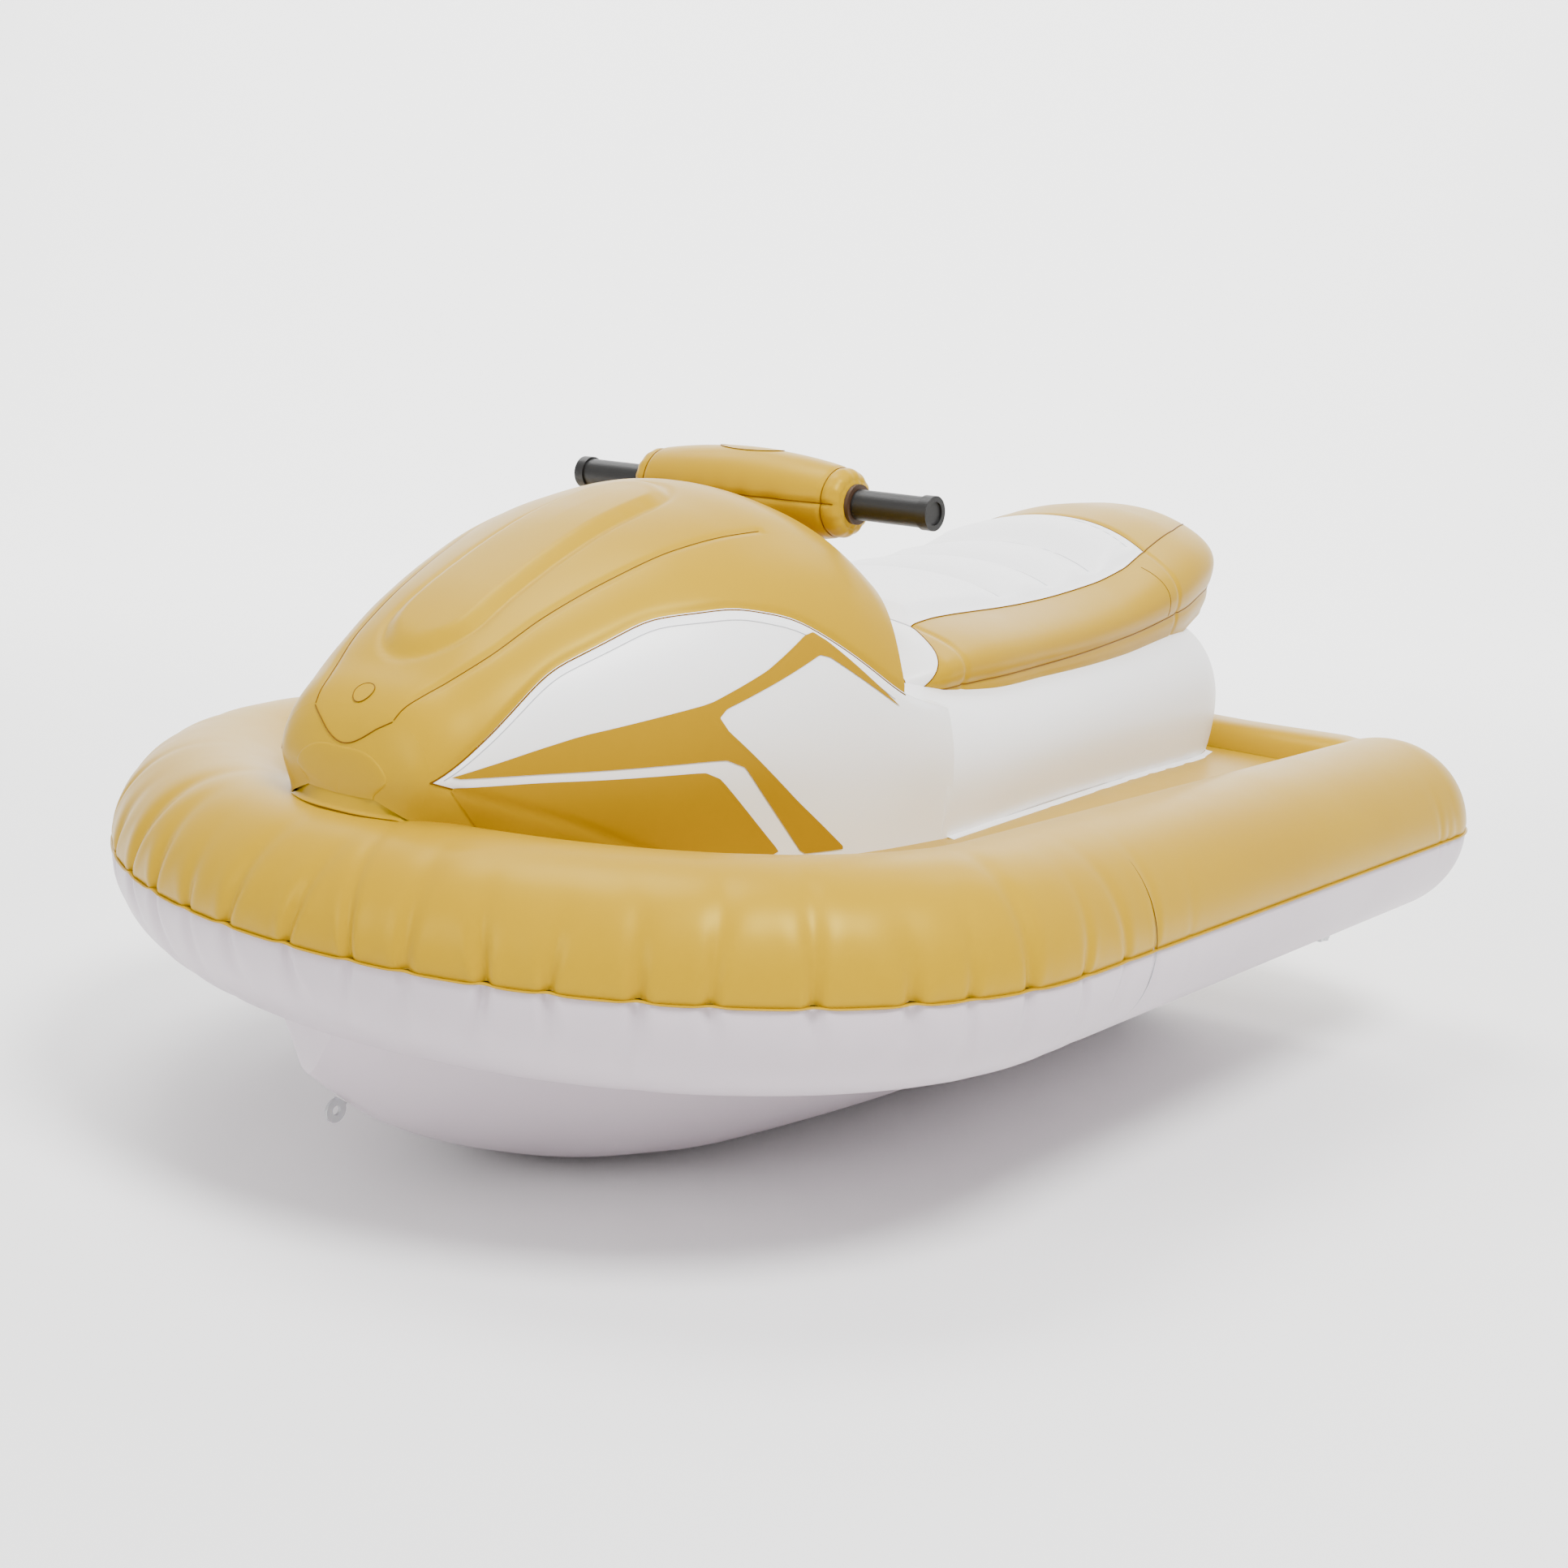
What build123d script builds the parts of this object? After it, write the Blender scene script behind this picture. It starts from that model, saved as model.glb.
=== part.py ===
"""Ride-on inflatable float: U-shaped tube hull, keel belly, body with hood and seat,
cross pod with a turning handlebar, tow eye and six push-in air valves."""
import os
from math import cos, pi

from build123d import *

os.makedirs("parts", exist_ok=True)

# ---- overall frame: +X bow, +Y port, +Z up, z = 0 under the keel, all in mm ----
hull_len = 1500.0
seam_z = 280.0
skin = 1.5
weld_gap = 0.3
run_fit = 0.1

# ---- hull tube ----
tube_r = 105.0
bow_xr = 376.0
bow_yr = 462.0
bow_cx = hull_len / 2 - tube_r - bow_xr
taper_deg = 0.95
side_slope = 0.0204
dome_len = 130.0
line_end_x = -hull_len / 2 + dome_len
cross_x = 140.0
bead_out = 5.0
bead_h = 2.0

# ---- deck, stern beam and keel ----
deck_top = seam_z + 52.0
deck_t = 2.0
beam_x = -695.0
beam_size = (92.0, 150.0)
beam_round = 42.0
beam_mid_z = seam_z + 12.0
beam_half = 380.0
keel_top = seam_z - 45.0

# ---- body, hood and seat: rows of x, base z, top z, base, waist and shoulder points ----
hood_rows = (
    (656.0, 120.0, 162.0, 44.0, (60.0, 138.0), (48.0, 154.0)),
    (648.0, 108.0, 186.0, 74.0, (90.0, 140.0), (66.0, 174.0)),
    (632.0, 98.0, 209.0, 94.0, (108.0, 142.0), (82.0, 194.0)),
    (598.0, 80.0, 234.0, 118.0, (130.0, 140.0), (92.0, 218.0)),
    (560.0, 64.0, 262.0, 146.0, (152.0, 136.0), (100.0, 244.0)),
    (500.0, 50.0, 302.0, 180.0, (186.0, 142.0), (120.0, 276.0)),
    (430.0, 50.0, 337.0, 212.0, (218.0, 150.0), (148.0, 298.0)),
    (360.0, 50.0, 365.0, 240.0, (244.0, 160.0), (172.0, 318.0)),
    (290.0, 50.0, 383.0, 262.0, (264.0, 166.0), (186.0, 330.0)),
    (220.0, 50.0, 394.0, 276.0, (278.0, 162.0), (194.0, 336.0)),
    (170.0, 50.0, 384.0, 284.0, (286.0, 156.0), (199.0, 327.0)),
    (130.0, 50.0, 352.0, 288.0, (290.0, 148.0), (204.0, 302.0)),
    (95.0, 50.0, 318.0, 290.0, (291.0, 140.0), (207.0, 276.0)),
)
body_rows = (
    (95.0, 50.0, 188.0, 290.0, (291.0, 118.0), (260.0, 177.0)),
    (-100.0, 50.0, 184.0, 268.0, (270.0, 116.0), (238.0, 173.0)),
    (-400.0, 50.0, 196.0, 236.0, (238.0, 120.0), (206.0, 185.0)),
    (-560.0, 50.0, 208.0, 224.0, (226.0, 126.0), (192.0, 197.0)),
    (-620.0, 52.0, 208.0, 208.0, (210.0, 128.0), (178.0, 195.0)),
    (-648.0, 66.0, 192.0, 168.0, (172.0, 128.0), (146.0, 176.0)),
)
seat_rows = (
    (74.0, 176.0, 222.0, 196.0, (210.0, 198.0), (186.0, 214.0)),
    (20.0, 172.0, 250.0, 220.0, (232.0, 206.0), (176.0, 240.0)),
    (-60.0, 170.0, 268.0, 220.0, (230.0, 210.0), (158.0, 252.0)),
    (-200.0, 174.0, 274.0, 208.0, (218.0, 214.0), (150.0, 256.0)),
    (-400.0, 186.0, 294.0, 192.0, (202.0, 230.0), (146.0, 272.0)),
    (-560.0, 200.0, 338.0, 178.0, (188.0, 258.0), (134.0, 310.0)),
    (-640.0, 218.0, 348.0, 162.0, (174.0, 276.0), (122.0, 324.0)),
    (-700.0, 226.0, 348.0, 136.0, (150.0, 288.0), (104.0, 328.0)),
    (-742.0, 258.0, 322.0, 88.0, (98.0, 290.0), (74.0, 310.0)),
)
keel_rows = (
    (-640.0, 45.0, 200.0, 290.0, (270.0, 110.0), (120.0, 180.0)),
    (-590.0, 45.0, 252.0, 350.0, (326.0, 130.0), (180.0, 226.0)),
    (-500.0, 45.0, 286.0, 360.0, (338.0, 140.0), (206.0, 254.0)),
    (-200.0, 45.0, 288.0, 366.0, (338.0, 146.0), (206.0, 256.0)),
    (100.0, 45.0, 288.0, 370.0, (336.0, 150.0), (200.0, 256.0)),
    (300.0, 45.0, 286.0, 352.0, (300.0, 150.0), (180.0, 254.0)),
    (405.0, 45.0, 279.0, 326.0, (256.0, 150.0), (156.0, 244.0)),
    (497.0, 45.0, 254.0, 280.0, (204.0, 144.0), (122.0, 220.0)),
    (585.0, 45.0, 215.0, 206.0, (134.0, 134.0), (76.0, 186.0)),
    (650.0, 45.0, 171.0, 124.0, (70.0, 118.0), (34.0, 152.0)),
    (688.0, 45.0, 141.0, 56.0, (28.0, 104.0), (14.0, 128.0)),
)
loft_sections = 13
hood_line = ((648, 60), (641, 143), (528, 243), (430, 286), (350, 297), (290, 286), (235, 252), (95, 184),
             (94, 450), (720, 450), (720, 60))
flange_out = 9.0
decal_t = 0.8
ridge_t = 4.0
ridge_len, ridge_w = 330.0, 108.0
ridge_x = 420.0
patch_x, patch_r = 631.0, 11.3
decal_upper = ((636, 146), (400, 211), (282, 270), (178, 196), (272, 252), (386, 206), (247, 60), (300, 60),
               (376, 158))
decal_lower = ((630, 138), (405, 147), (322, 60), (560, 60))

# ---- seat cover split ----
quilt_x = (-548.0, -8.0)
quilt_half = 140.0
quilt_low_z = seam_z + 228.0

# ---- pod and handlebar ----
bar_x, bar_z = 89.0, seam_z + 380.0
pod_half = 140.0
pod_end_r, pod_mid_r = 34.0, 48.0
bar_r, bar_half = 12.5, 236.0
bar_wall = 1.5
sleeve_wall = 1.5
grip_r, grip_from, grip_flange_r = 16.0, 147.0, 18.0
grip_flange_t, dish_depth, dish_r = 6.0, 2.0, 12.0
collar_r, collar_t = 21.0, 6.0
pod_patch = (84.0, 34.0)

# ---- tow eye ----
eye_x, eye_z = 653.0, seam_z - 185.0
eye_r, eye_hole_r, eye_t = 11.7, 4.7, 3.0
eye_pad, eye_pad_deg = (26.0, 15.0), 125.0
eye_reach = 12.0

# ---- valves ----
valve_barrel_r, valve_flange_r, valve_flange_t = 13.4, 20.0, 1.6
valve_depth = 14.0
neck_r, neck_bore_r, neck_top = 8.3, 5.0, 18.0
neck_lip_r, neck_lip_t = 10.5, 2.0
hinge_x, hinge_z, pin_r = 13.0, 19.0, 1.2
lug_in, lug_out, lug_low = 3.2, 5.2, 13.5
cap_r, cap_t, knuckle_r = 7.2, 3.0, 2.6
cap_gap = 0.2
plug_r, plug_len = 4.3, 2.0


def side_y(x):
    """Half width of the tube centreline on the straight sides."""
    return bow_yr - side_slope * (bow_cx - x)


def finish(part, name):
    part.label = name
    export_step(part, "parts/" + name + ".step")


def hull_path():
    with BuildLine(Plane.XY.offset(seam_z)) as path:
        bow = EllipticalCenterArc((bow_cx, 0), bow_xr, bow_yr, -90 - taper_deg, arc_size=180 + 2 * taper_deg)
        y_end = side_y(line_end_x)
        Line(bow @ 1, (line_end_x, y_end))
        Line(bow @ 0, (line_end_x, -y_end))
    return path.wires()[0]


def tube(radius, dome):
    """Solid hull tube with rounded stern ends."""
    wire = hull_path()
    y_end = side_y(line_end_x)
    with BuildPart() as solid:
        with BuildSketch(Plane(origin=wire @ 0, z_dir=wire % 0)):
            Circle(radius)
        sweep(path=wire)
        for side in (1, -1):
            dome_plane = Plane(origin=(line_end_x, side * y_end, seam_z))
            with BuildSketch(dome_plane):
                Ellipse(dome, radius)
                Rectangle(2 * dome, radius, align=(Align.CENTER, Align.MAX), mode=Mode.SUBTRACT)
                Rectangle(dome, 2 * radius, align=(Align.MIN, Align.CENTER), mode=Mode.SUBTRACT)
            revolve(axis=Axis((line_end_x, side * y_end, seam_z), (1, 0, 0)))
    return solid.part


def flat_row(row):
    return [row[0], row[1], row[2], row[3], *row[4], *row[5]]


def resample(rows):
    """Even out the section spacing, closer together at both ends, with a smooth curve between rows."""
    table = [flat_row(row) for row in rows]
    start, end = table[0][0], table[-1][0]
    result = []
    for step in range(loft_sections):
        even = step / (loft_sections - 1)
        part = (even + (1 - cos(pi * even)) / 2) / 2
        x = start + (end - start) * part
        k = max(i for i in range(len(table) - 1) if (x - table[i][0]) * (end - start) >= 0)
        t = (x - table[k][0]) / (table[k + 1][0] - table[k][0])
        values = []
        for column in range(1, len(table[0])):
            slopes = [(b[column] - a[column]) / (b[0] - a[0]) for a, b in zip(table, table[1:])]
            width = table[k + 1][0] - table[k][0]
            m0 = knot_slope(slopes, k) * width
            m1 = knot_slope(slopes, k + 1) * width
            p0, p1 = table[k][column], table[k + 1][column]
            values.append((2 * t**3 - 3 * t**2 + 1) * p0 + (t**3 - 2 * t**2 + t) * m0
                          + (3 * t**2 - 2 * t**3) * p1 + (t**3 - t**2) * m1)
        result.append((x, *values[:3], (values[3], values[4]), (values[5], values[6])))
    return result


def knot_slope(slopes, k):
    """Slope at a row, zero at a peak or dip so that the curve never overshoots."""
    if k == 0:
        return slopes[0]
    if k == len(slopes):
        return slopes[-1]
    before, after = slopes[k - 1], slopes[k]
    return 0.0 if before * after <= 0 else 2 * before * after / (before + after)


def row_loft(rows, inset, sign=1):
    """Loft through cross sections; inset shrinks them, sign -1 hangs them below the seam."""
    rows = resample(rows)
    last = len(rows) - 1
    forward = 1 if rows[last][0] > rows[0][0] else -1
    with BuildPart() as solid:
        for index, (x, base, top, half, waist, shoulder) in enumerate(rows):
            end_shift = inset * forward * ((index == 0) - (index == last))
            low, high = base + inset, top - inset
            points = [(half - inset, low), (waist[0] - inset, waist[1]),
                      (shoulder[0] - inset, shoulder[1] - inset / 2), (0, high)]
            with BuildSketch(Plane(origin=(x + end_shift, 0, seam_z), x_dir=(0, 1, 0), z_dir=(1, 0, 0))):
                with BuildLine():
                    right = [(y, sign * z) for y, z in points]
                    left = [(-y, sign * z) for y, z in points]
                    Spline(*right, tangents=((0, sign), (-1, 0)), tangent_scalars=(0.6, 0.9))
                    Spline(*left, tangents=((0, sign), (1, 0)), tangent_scalars=(0.6, 0.9))
                    Line(left[0], right[0])
                make_face()
        loft()
    return solid.part


def shell(outer, inner):
    with BuildPart() as hollow:
        add(outer)
        add(inner, mode=Mode.SUBTRACT)
    return hollow.part


def cut(body, *tools):
    with BuildPart() as result:
        add(body)
        for tool in tools:
            add(tool, mode=Mode.SUBTRACT)
    return result.part


def keep(body, tool):
    with BuildPart() as result:
        add(body)
        add(tool, mode=Mode.INTERSECT)
    return result.part


def flip(body):
    """The same piece on the other side of the centre plane."""
    with BuildPart() as result:
        mirror(body, about=Plane.XZ)
    return result.part


def block(x_range, y_range, z_range):
    with BuildPart() as box:
        size = [high - low for low, high in (x_range, y_range, z_range)]
        middle = [(high + low) / 2 for low, high in (x_range, y_range, z_range)]
        with Locations(tuple(middle)):
            Box(*size)
    return box.part


def side_prism(points, y_range):
    """Side outline (x, height over the seam) pulled across the given width."""
    with BuildPart() as prism:
        with BuildSketch(Plane(origin=(0, y_range[1], seam_z), x_dir=(1, 0, 0), z_dir=(0, -1, 0))):
            with BuildLine():
                Polyline(*points, close=True)
            make_face()
        extrude(amount=y_range[1] - y_range[0])
    return prism.part


def hole_tool(plane, radius, depth, height):
    with BuildPart() as tool:
        with BuildSketch(plane.offset(-depth)):
            Circle(radius)
        extrude(amount=depth + height)
    return tool.part


far = 900.0

# ---- valve places: plane origin on the skin, normal outwards, x_dir towards the hinge ----
valve_planes = {
    "bow": Plane(origin=(200, -side_y(200.0), seam_z + tube_r), x_dir=(-1, 0, 0), z_dir=(0, 0, 1)),
    "starboard": Plane(origin=(-300, -side_y(-300.0), seam_z + tube_r), x_dir=(-1, 0, 0), z_dir=(0, 0, 1)),
    "port": Plane(origin=(-500, side_y(-500.0), seam_z - tube_r), x_dir=(1, 0, 0), z_dir=(0, 0, -1)),
    "body": Plane(origin=(-648, 60, seam_z + 140), x_dir=(0, 1, 0), z_dir=(-1, 0, 0)),
    "seat": Plane(origin=(-690, 60, seam_z + 221), x_dir=(0, 1, 0), z_dir=(0, 0, -1)),
    "pod": Plane(origin=(bar_x - pod_mid_r + 0.4, -60, bar_z), x_dir=(0, 1, 0), z_dir=(-1, 0, 0)),
}
hole_r = valve_barrel_r + weld_gap
holes = {key: hole_tool(plane, hole_r, valve_depth + 6, 8) for key, plane in valve_planes.items()}

# ---- hull tube skins ----
outer_tube = tube(tube_r, dome_len)
inner_tube = tube(tube_r - skin, dome_len - skin)
clear_tube = tube(tube_r + weld_gap, dome_len + weld_gap)
tube_skin = shell(outer_tube, inner_tube)
upper_z = (seam_z + bead_h / 2, seam_z + 200)
lower_z = (seam_z - 200, seam_z - bead_h / 2)
sectors = {
    "hull_bow_upper": ((cross_x, far), (-far, far), upper_z, "bow"),
    "hull_bow_lower": ((cross_x, far), (-far, far), lower_z, None),
    "hull_port_upper": ((-far, cross_x), (-far, 0), upper_z, None),
    "hull_port_lower": ((-far, cross_x), (-far, 0), lower_z, "port"),
    "hull_starboard_upper": ((-far, cross_x), (-far, 0), upper_z, "starboard"),
    "hull_starboard_lower": ((-far, cross_x), (-far, 0), lower_z, None),
}
for name, (x_range, y_range, z_range, valve) in sectors.items():
    sector = keep(tube_skin, block(x_range, y_range, z_range))
    if "port" in name:
        sector = flip(sector)
    if valve:
        sector = cut(sector, holes[valve])
    finish(sector, name)


# ---- seam band: the weld flange that the upper and lower skins share ----
def plan_face(grow):
    half = tube_r + grow
    y_end = side_y(line_end_x)
    with BuildPart() as slab:
        with BuildSketch(Plane.XY.offset(seam_z - bead_h / 2)):
            with BuildLine():
                bow = EllipticalCenterArc((bow_cx, 0), bow_xr, bow_yr, -90 - taper_deg, arc_size=180 + 2 * taper_deg)
                Line(bow @ 1, (line_end_x, y_end))
                Line(bow @ 0, (line_end_x, -y_end))
            trace(line_width=2 * half)
            with Locations((line_end_x, y_end), (line_end_x, -y_end)):
                Ellipse(dome_len + grow, half)
        extrude(amount=bead_h)
    return slab.part


seam_band = shell(plan_face(bead_out), plan_face(-skin))
finish(seam_band, "hull_seam_band")

# ---- bulkheads inside the tube at the cross seams ----
for side, name in ((1, "bulkhead_port"), (-1, "bulkhead_starboard")):
    with BuildPart() as bulkhead:
        with BuildSketch(Plane(origin=(cross_x, side * side_y(cross_x), seam_z), z_dir=(1, 0, 0))):
            Circle(tube_r - skin - weld_gap)
        extrude(amount=skin)
    finish(bulkhead.part, name)

# ---- deck panel ----
with BuildPart() as deck:
    with BuildSketch(Plane.XY.offset(deck_top - deck_t)):
        with BuildLine():
            bow = EllipticalCenterArc((bow_cx, 0), bow_xr, bow_yr, -90 - taper_deg, arc_size=180 + 2 * taper_deg)
            Polyline(bow @ 1, (beam_x + beam_size[0] / 2 - 2, side_y(-650.0)),
                     (beam_x + beam_size[0] / 2 - 2, -side_y(-650.0)), bow @ 0)
        make_face()
    extrude(amount=deck_t)
    add(clear_tube, mode=Mode.SUBTRACT)
finish(deck.part, "deck_panel")


# ---- stern beam ----
def beam(inset):
    with BuildPart() as solid:
        with BuildSketch(Plane(origin=(beam_x, beam_half - inset, beam_mid_z), x_dir=(1, 0, 0),
                               z_dir=(0, -1, 0))):
            RectangleRounded(beam_size[0] - 2 * inset, beam_size[1] - 2 * inset, beam_round - inset)
        extrude(amount=2 * (beam_half - inset))
        add(tube(tube_r + weld_gap + inset, dome_len + weld_gap + inset), mode=Mode.SUBTRACT)
    return solid.part


beam_outer = beam(0)
finish(cut(shell(beam_outer, beam(skin)), deck.part, seam_band), "stern_beam")

# ---- keel belly ----
under_floor = block((-far, far), (-far, far), (-100, 0))
under_skin = block((-far, far), (-far, far), (-100, skin))
keel_outer = cut(row_loft(keel_rows, 0, -1), clear_tube, beam_outer, under_floor, seam_band)
keel_inner = cut(row_loft(keel_rows, skin, -1), tube(tube_r + weld_gap + skin, dome_len + weld_gap + skin),
                 beam(-skin), under_skin)
finish(shell(keel_outer, keel_inner), "keel_shell")

# ---- tow eye ----
with BuildPart() as eye:
    with BuildSketch(Plane(origin=(eye_x, eye_t / 2, eye_z), x_dir=(1, 0, 0), z_dir=(0, -1, 0))):
        Circle(eye_r)
        with PolarLocations(eye_reach, 1, start_angle=eye_pad_deg):
            Rectangle(*eye_pad)
        Circle(eye_hole_r, mode=Mode.SUBTRACT)
    extrude(amount=eye_t)
    add(keel_outer, mode=Mode.SUBTRACT)
finish(eye.part.solids().sort_by(Axis.X)[-1], "tow_eye")

# ---- pod solids, needed to seat the hood under the pod ----
def pod_solid(grow):
    with BuildPart() as solid:
        with BuildSketch(Plane(origin=(bar_x, 0, bar_z), x_dir=(0, 1, 0), z_dir=(1, 0, 0))):
            with BuildLine():
                half = pod_half + grow
                belly = ThreePointArc((-half, pod_end_r + grow), (0, pod_mid_r + grow), (half, pod_end_r + grow))
                Polyline(belly @ 1, (half, 0), (-half, 0), belly @ 0)
            make_face()
        revolve(axis=Axis((bar_x, 0, bar_z), (0, 1, 0)))
    return solid.part


# ---- hood chamber and rear body ----
under_deck = block((-far, far), (-far, far), (0, deck_top))
under_base = block((-far, far), (-far, far), (0, deck_top + skin))
hood_outer = cut(row_loft(hood_rows, 0), clear_tube, pod_solid(weld_gap), under_deck)
hood_inner = cut(row_loft(hood_rows, skin), tube(tube_r + weld_gap + skin, dome_len),
                 pod_solid(weld_gap + skin), under_base)
hood_chamber = shell(hood_outer, hood_inner)
hood_region = side_prism(hood_line, (-400, 400))
finish(keep(hood_chamber, hood_region), "hood_cover")
finish(cut(hood_chamber, hood_region), "front_side_skin")
body_outer = cut(row_loft(body_rows, 0), under_deck)
body_inner = cut(row_loft(body_rows, skin), under_base)
finish(cut(shell(body_outer, body_inner), holes["body"]), "rear_body_skin")

# ---- weld flange round the rear body ----
with BuildPart() as flange:
    with BuildSketch(Plane.XY.offset(deck_top)):
        with BuildLine():
            out = [(row[0], row[3] + flange_out) for row in body_rows[:-1]]
            Spline(*out)
            Spline(*[(x, -y) for x, y in out])
            Line(out[0], (out[0][0], -out[0][1]))
            Polyline(out[-1], (out[-1][0] - 2 * flange_out, out[-1][1] - 4 * flange_out),
                     (out[-1][0] - 2 * flange_out, -out[-1][1] + 4 * flange_out), (out[-1][0], -out[-1][1]))
        make_face()
    extrude(amount=deck_t)
    add(body_outer, mode=Mode.SUBTRACT)
finish(flange.part.solids().sort_by(SortBy.VOLUME)[-1], "body_flange")

# ---- raised pieces on the hood: ridge, nose patch, side decals ----
raised = cut(row_loft(hood_rows, -decal_t), row_loft(hood_rows, 0), clear_tube)
for side, port in ((1, "port"), (-1, "starboard")):
    y_range = (20, 400) if side > 0 else (-400, -20)
    for outline, level in ((decal_upper, "upper"), (decal_lower, "lower")):
        piece = keep(raised, side_prism(outline, y_range))
        finish(piece.solids().sort_by(SortBy.VOLUME)[-1], "decal_" + level + "_" + port)
with BuildPart() as ridge_tool:
    with BuildSketch(Plane.XY.offset(seam_z + 150)):
        with Locations((ridge_x, 0)):
            SlotOverall(ridge_len, ridge_w)
    extrude(amount=300)
ridge = keep(cut(row_loft(hood_rows, -ridge_t), row_loft(hood_rows, 0)), ridge_tool.part)
finish(ridge.solids().sort_by(SortBy.VOLUME)[-1], "hood_ridge")
with BuildPart() as patch_tool:
    with BuildSketch(Plane(origin=(patch_x - 20, 0, seam_z + 150), z_dir=(0.8, 0, 0.6))):
        Circle(patch_r)
    extrude(amount=140)
patch = keep(raised, patch_tool.part)
finish(patch.solids().sort_by(SortBy.VOLUME)[-1], "nose_patch")

# ---- seat ----
seat_outer = cut(row_loft(seat_rows, 0), row_loft(body_rows, -weld_gap))
seat_inner = cut(row_loft(seat_rows, skin), row_loft(body_rows, -weld_gap - skin))
seat_skin = cut(shell(seat_outer, seat_inner), holes["seat"])
quilt_region = block(quilt_x, (-quilt_half, quilt_half), (quilt_low_z, quilt_low_z + 200))
front_region = block((quilt_x[1], 120), (-quilt_half - 40, quilt_half + 40), (seam_z + 205, quilt_low_z + 200))
finish(keep(seat_skin, quilt_region), "seat_quilt_top")
finish(keep(seat_skin, front_region), "seat_front_panel")
finish(cut(seat_skin, quilt_region, front_region), "seat_side_skin")

# ---- pod ----
half_cut = {"pod_upper": (bar_z, bar_z + 100), "pod_lower": (bar_z - 100, bar_z)}
sleeve_r = bar_r + run_fit
with BuildPart() as sleeve_space:
    with BuildSketch(Plane(origin=(bar_x, -pod_half - 5, bar_z), z_dir=(0, 1, 0))):
        Circle(sleeve_r + sleeve_wall)
    extrude(amount=2 * pod_half + 10)
pod_skin = cut(shell(pod_solid(0), pod_solid(-skin)), sleeve_space.part, holes["pod"])
for name, z_range in half_cut.items():
    finish(keep(pod_skin, block((-100, 300), (-200, 200), z_range)), name)
with BuildPart() as sleeve:
    with BuildSketch(Plane(origin=(bar_x, -pod_half, bar_z), z_dir=(0, 1, 0))):
        Circle(sleeve_r + sleeve_wall)
        Circle(sleeve_r, mode=Mode.SUBTRACT)
    extrude(amount=2 * pod_half)
finish(sleeve.part, "pod_sleeve")
with BuildPart() as oval_tool:
    with BuildSketch(Plane(origin=(bar_x, 0, bar_z + 20), x_dir=(0, 1, 0), z_dir=(0, 0, 1))):
        Ellipse(pod_patch[0] / 2, pod_patch[1] / 2)
    extrude(amount=60)
finish(keep(cut(pod_solid(decal_t), pod_solid(0)), oval_tool.part), "pod_patch")
for side, port in ((1, "port"), (-1, "starboard")):
    with BuildPart() as collar:
        with BuildSketch(Plane(origin=(bar_x, side * pod_half, bar_z), z_dir=(0, side, 0))):
            Circle(collar_r)
            Circle(sleeve_r, mode=Mode.SUBTRACT)
        extrude(amount=collar_t)
    finish(collar.part, "grip_collar_" + port)

# ---- handlebar and grips ----
with BuildPart() as bar:
    with BuildSketch(Plane(origin=(bar_x, -bar_half, bar_z), z_dir=(0, 1, 0))):
        Circle(bar_r)
        Circle(bar_r - bar_wall, mode=Mode.SUBTRACT)
    extrude(amount=2 * bar_half)
finish(bar.part, "handlebar_tube")
for side, port in ((1, "port"), (-1, "starboard")):
    with BuildPart() as grip:
        with BuildSketch(Plane(origin=(bar_x, side * grip_from, bar_z), z_dir=(0, side, 0))):
            Circle(grip_r)
            Circle(bar_r, mode=Mode.SUBTRACT)
        extrude(amount=bar_half - grip_from)
        with BuildSketch(Plane(origin=(bar_x, side * (bar_half - grip_flange_t), bar_z), z_dir=(0, side, 0))):
            Circle(grip_flange_r)
            Circle(bar_r, mode=Mode.SUBTRACT)
        extrude(amount=grip_flange_t)
    finish(grip.part, "grip_" + port)
    with BuildPart() as plug:
        with BuildSketch(Plane(origin=(bar_x, side * bar_half, bar_z), z_dir=(0, side, 0))):
            Circle(grip_flange_r)
        extrude(amount=grip_flange_t)
        with BuildSketch(Plane(origin=(bar_x, side * (bar_half + grip_flange_t), bar_z), z_dir=(0, side, 0))):
            Circle(dish_r)
        extrude(amount=-dish_depth, mode=Mode.SUBTRACT)
    finish(plug.part, "grip_end_" + port)


# ---- valves ----
def ring(plane, low, high, outer_r, inner_r):
    with BuildPart() as piece:
        with BuildSketch(plane.offset(low)):
            Circle(outer_r)
            Circle(inner_r, mode=Mode.SUBTRACT)
        extrude(amount=high - low)
    return piece.part


def bar_along(plane, x, z, half, radius):
    """Cylinder along the plane's own y axis at (x, z)."""
    origin = plane.from_local_coords((x, -half, z))
    with BuildPart() as piece:
        with BuildSketch(Plane(origin=origin, x_dir=plane.x_dir, z_dir=plane.y_dir)):
            Circle(radius)
        extrude(amount=2 * half)
    return piece.part


def local_block(plane, x_range, y_range, z_range):
    with BuildPart() as piece:
        with BuildSketch(plane.offset(z_range[0])):
            with Locations(((x_range[0] + x_range[1]) / 2, (y_range[0] + y_range[1]) / 2)):
                Rectangle(x_range[1] - x_range[0], y_range[1] - y_range[0])
        extrude(amount=z_range[1] - z_range[0])
    return piece.part


def join(*pieces):
    with BuildPart() as result:
        for piece in pieces:
            add(piece)
    return result.part


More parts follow.
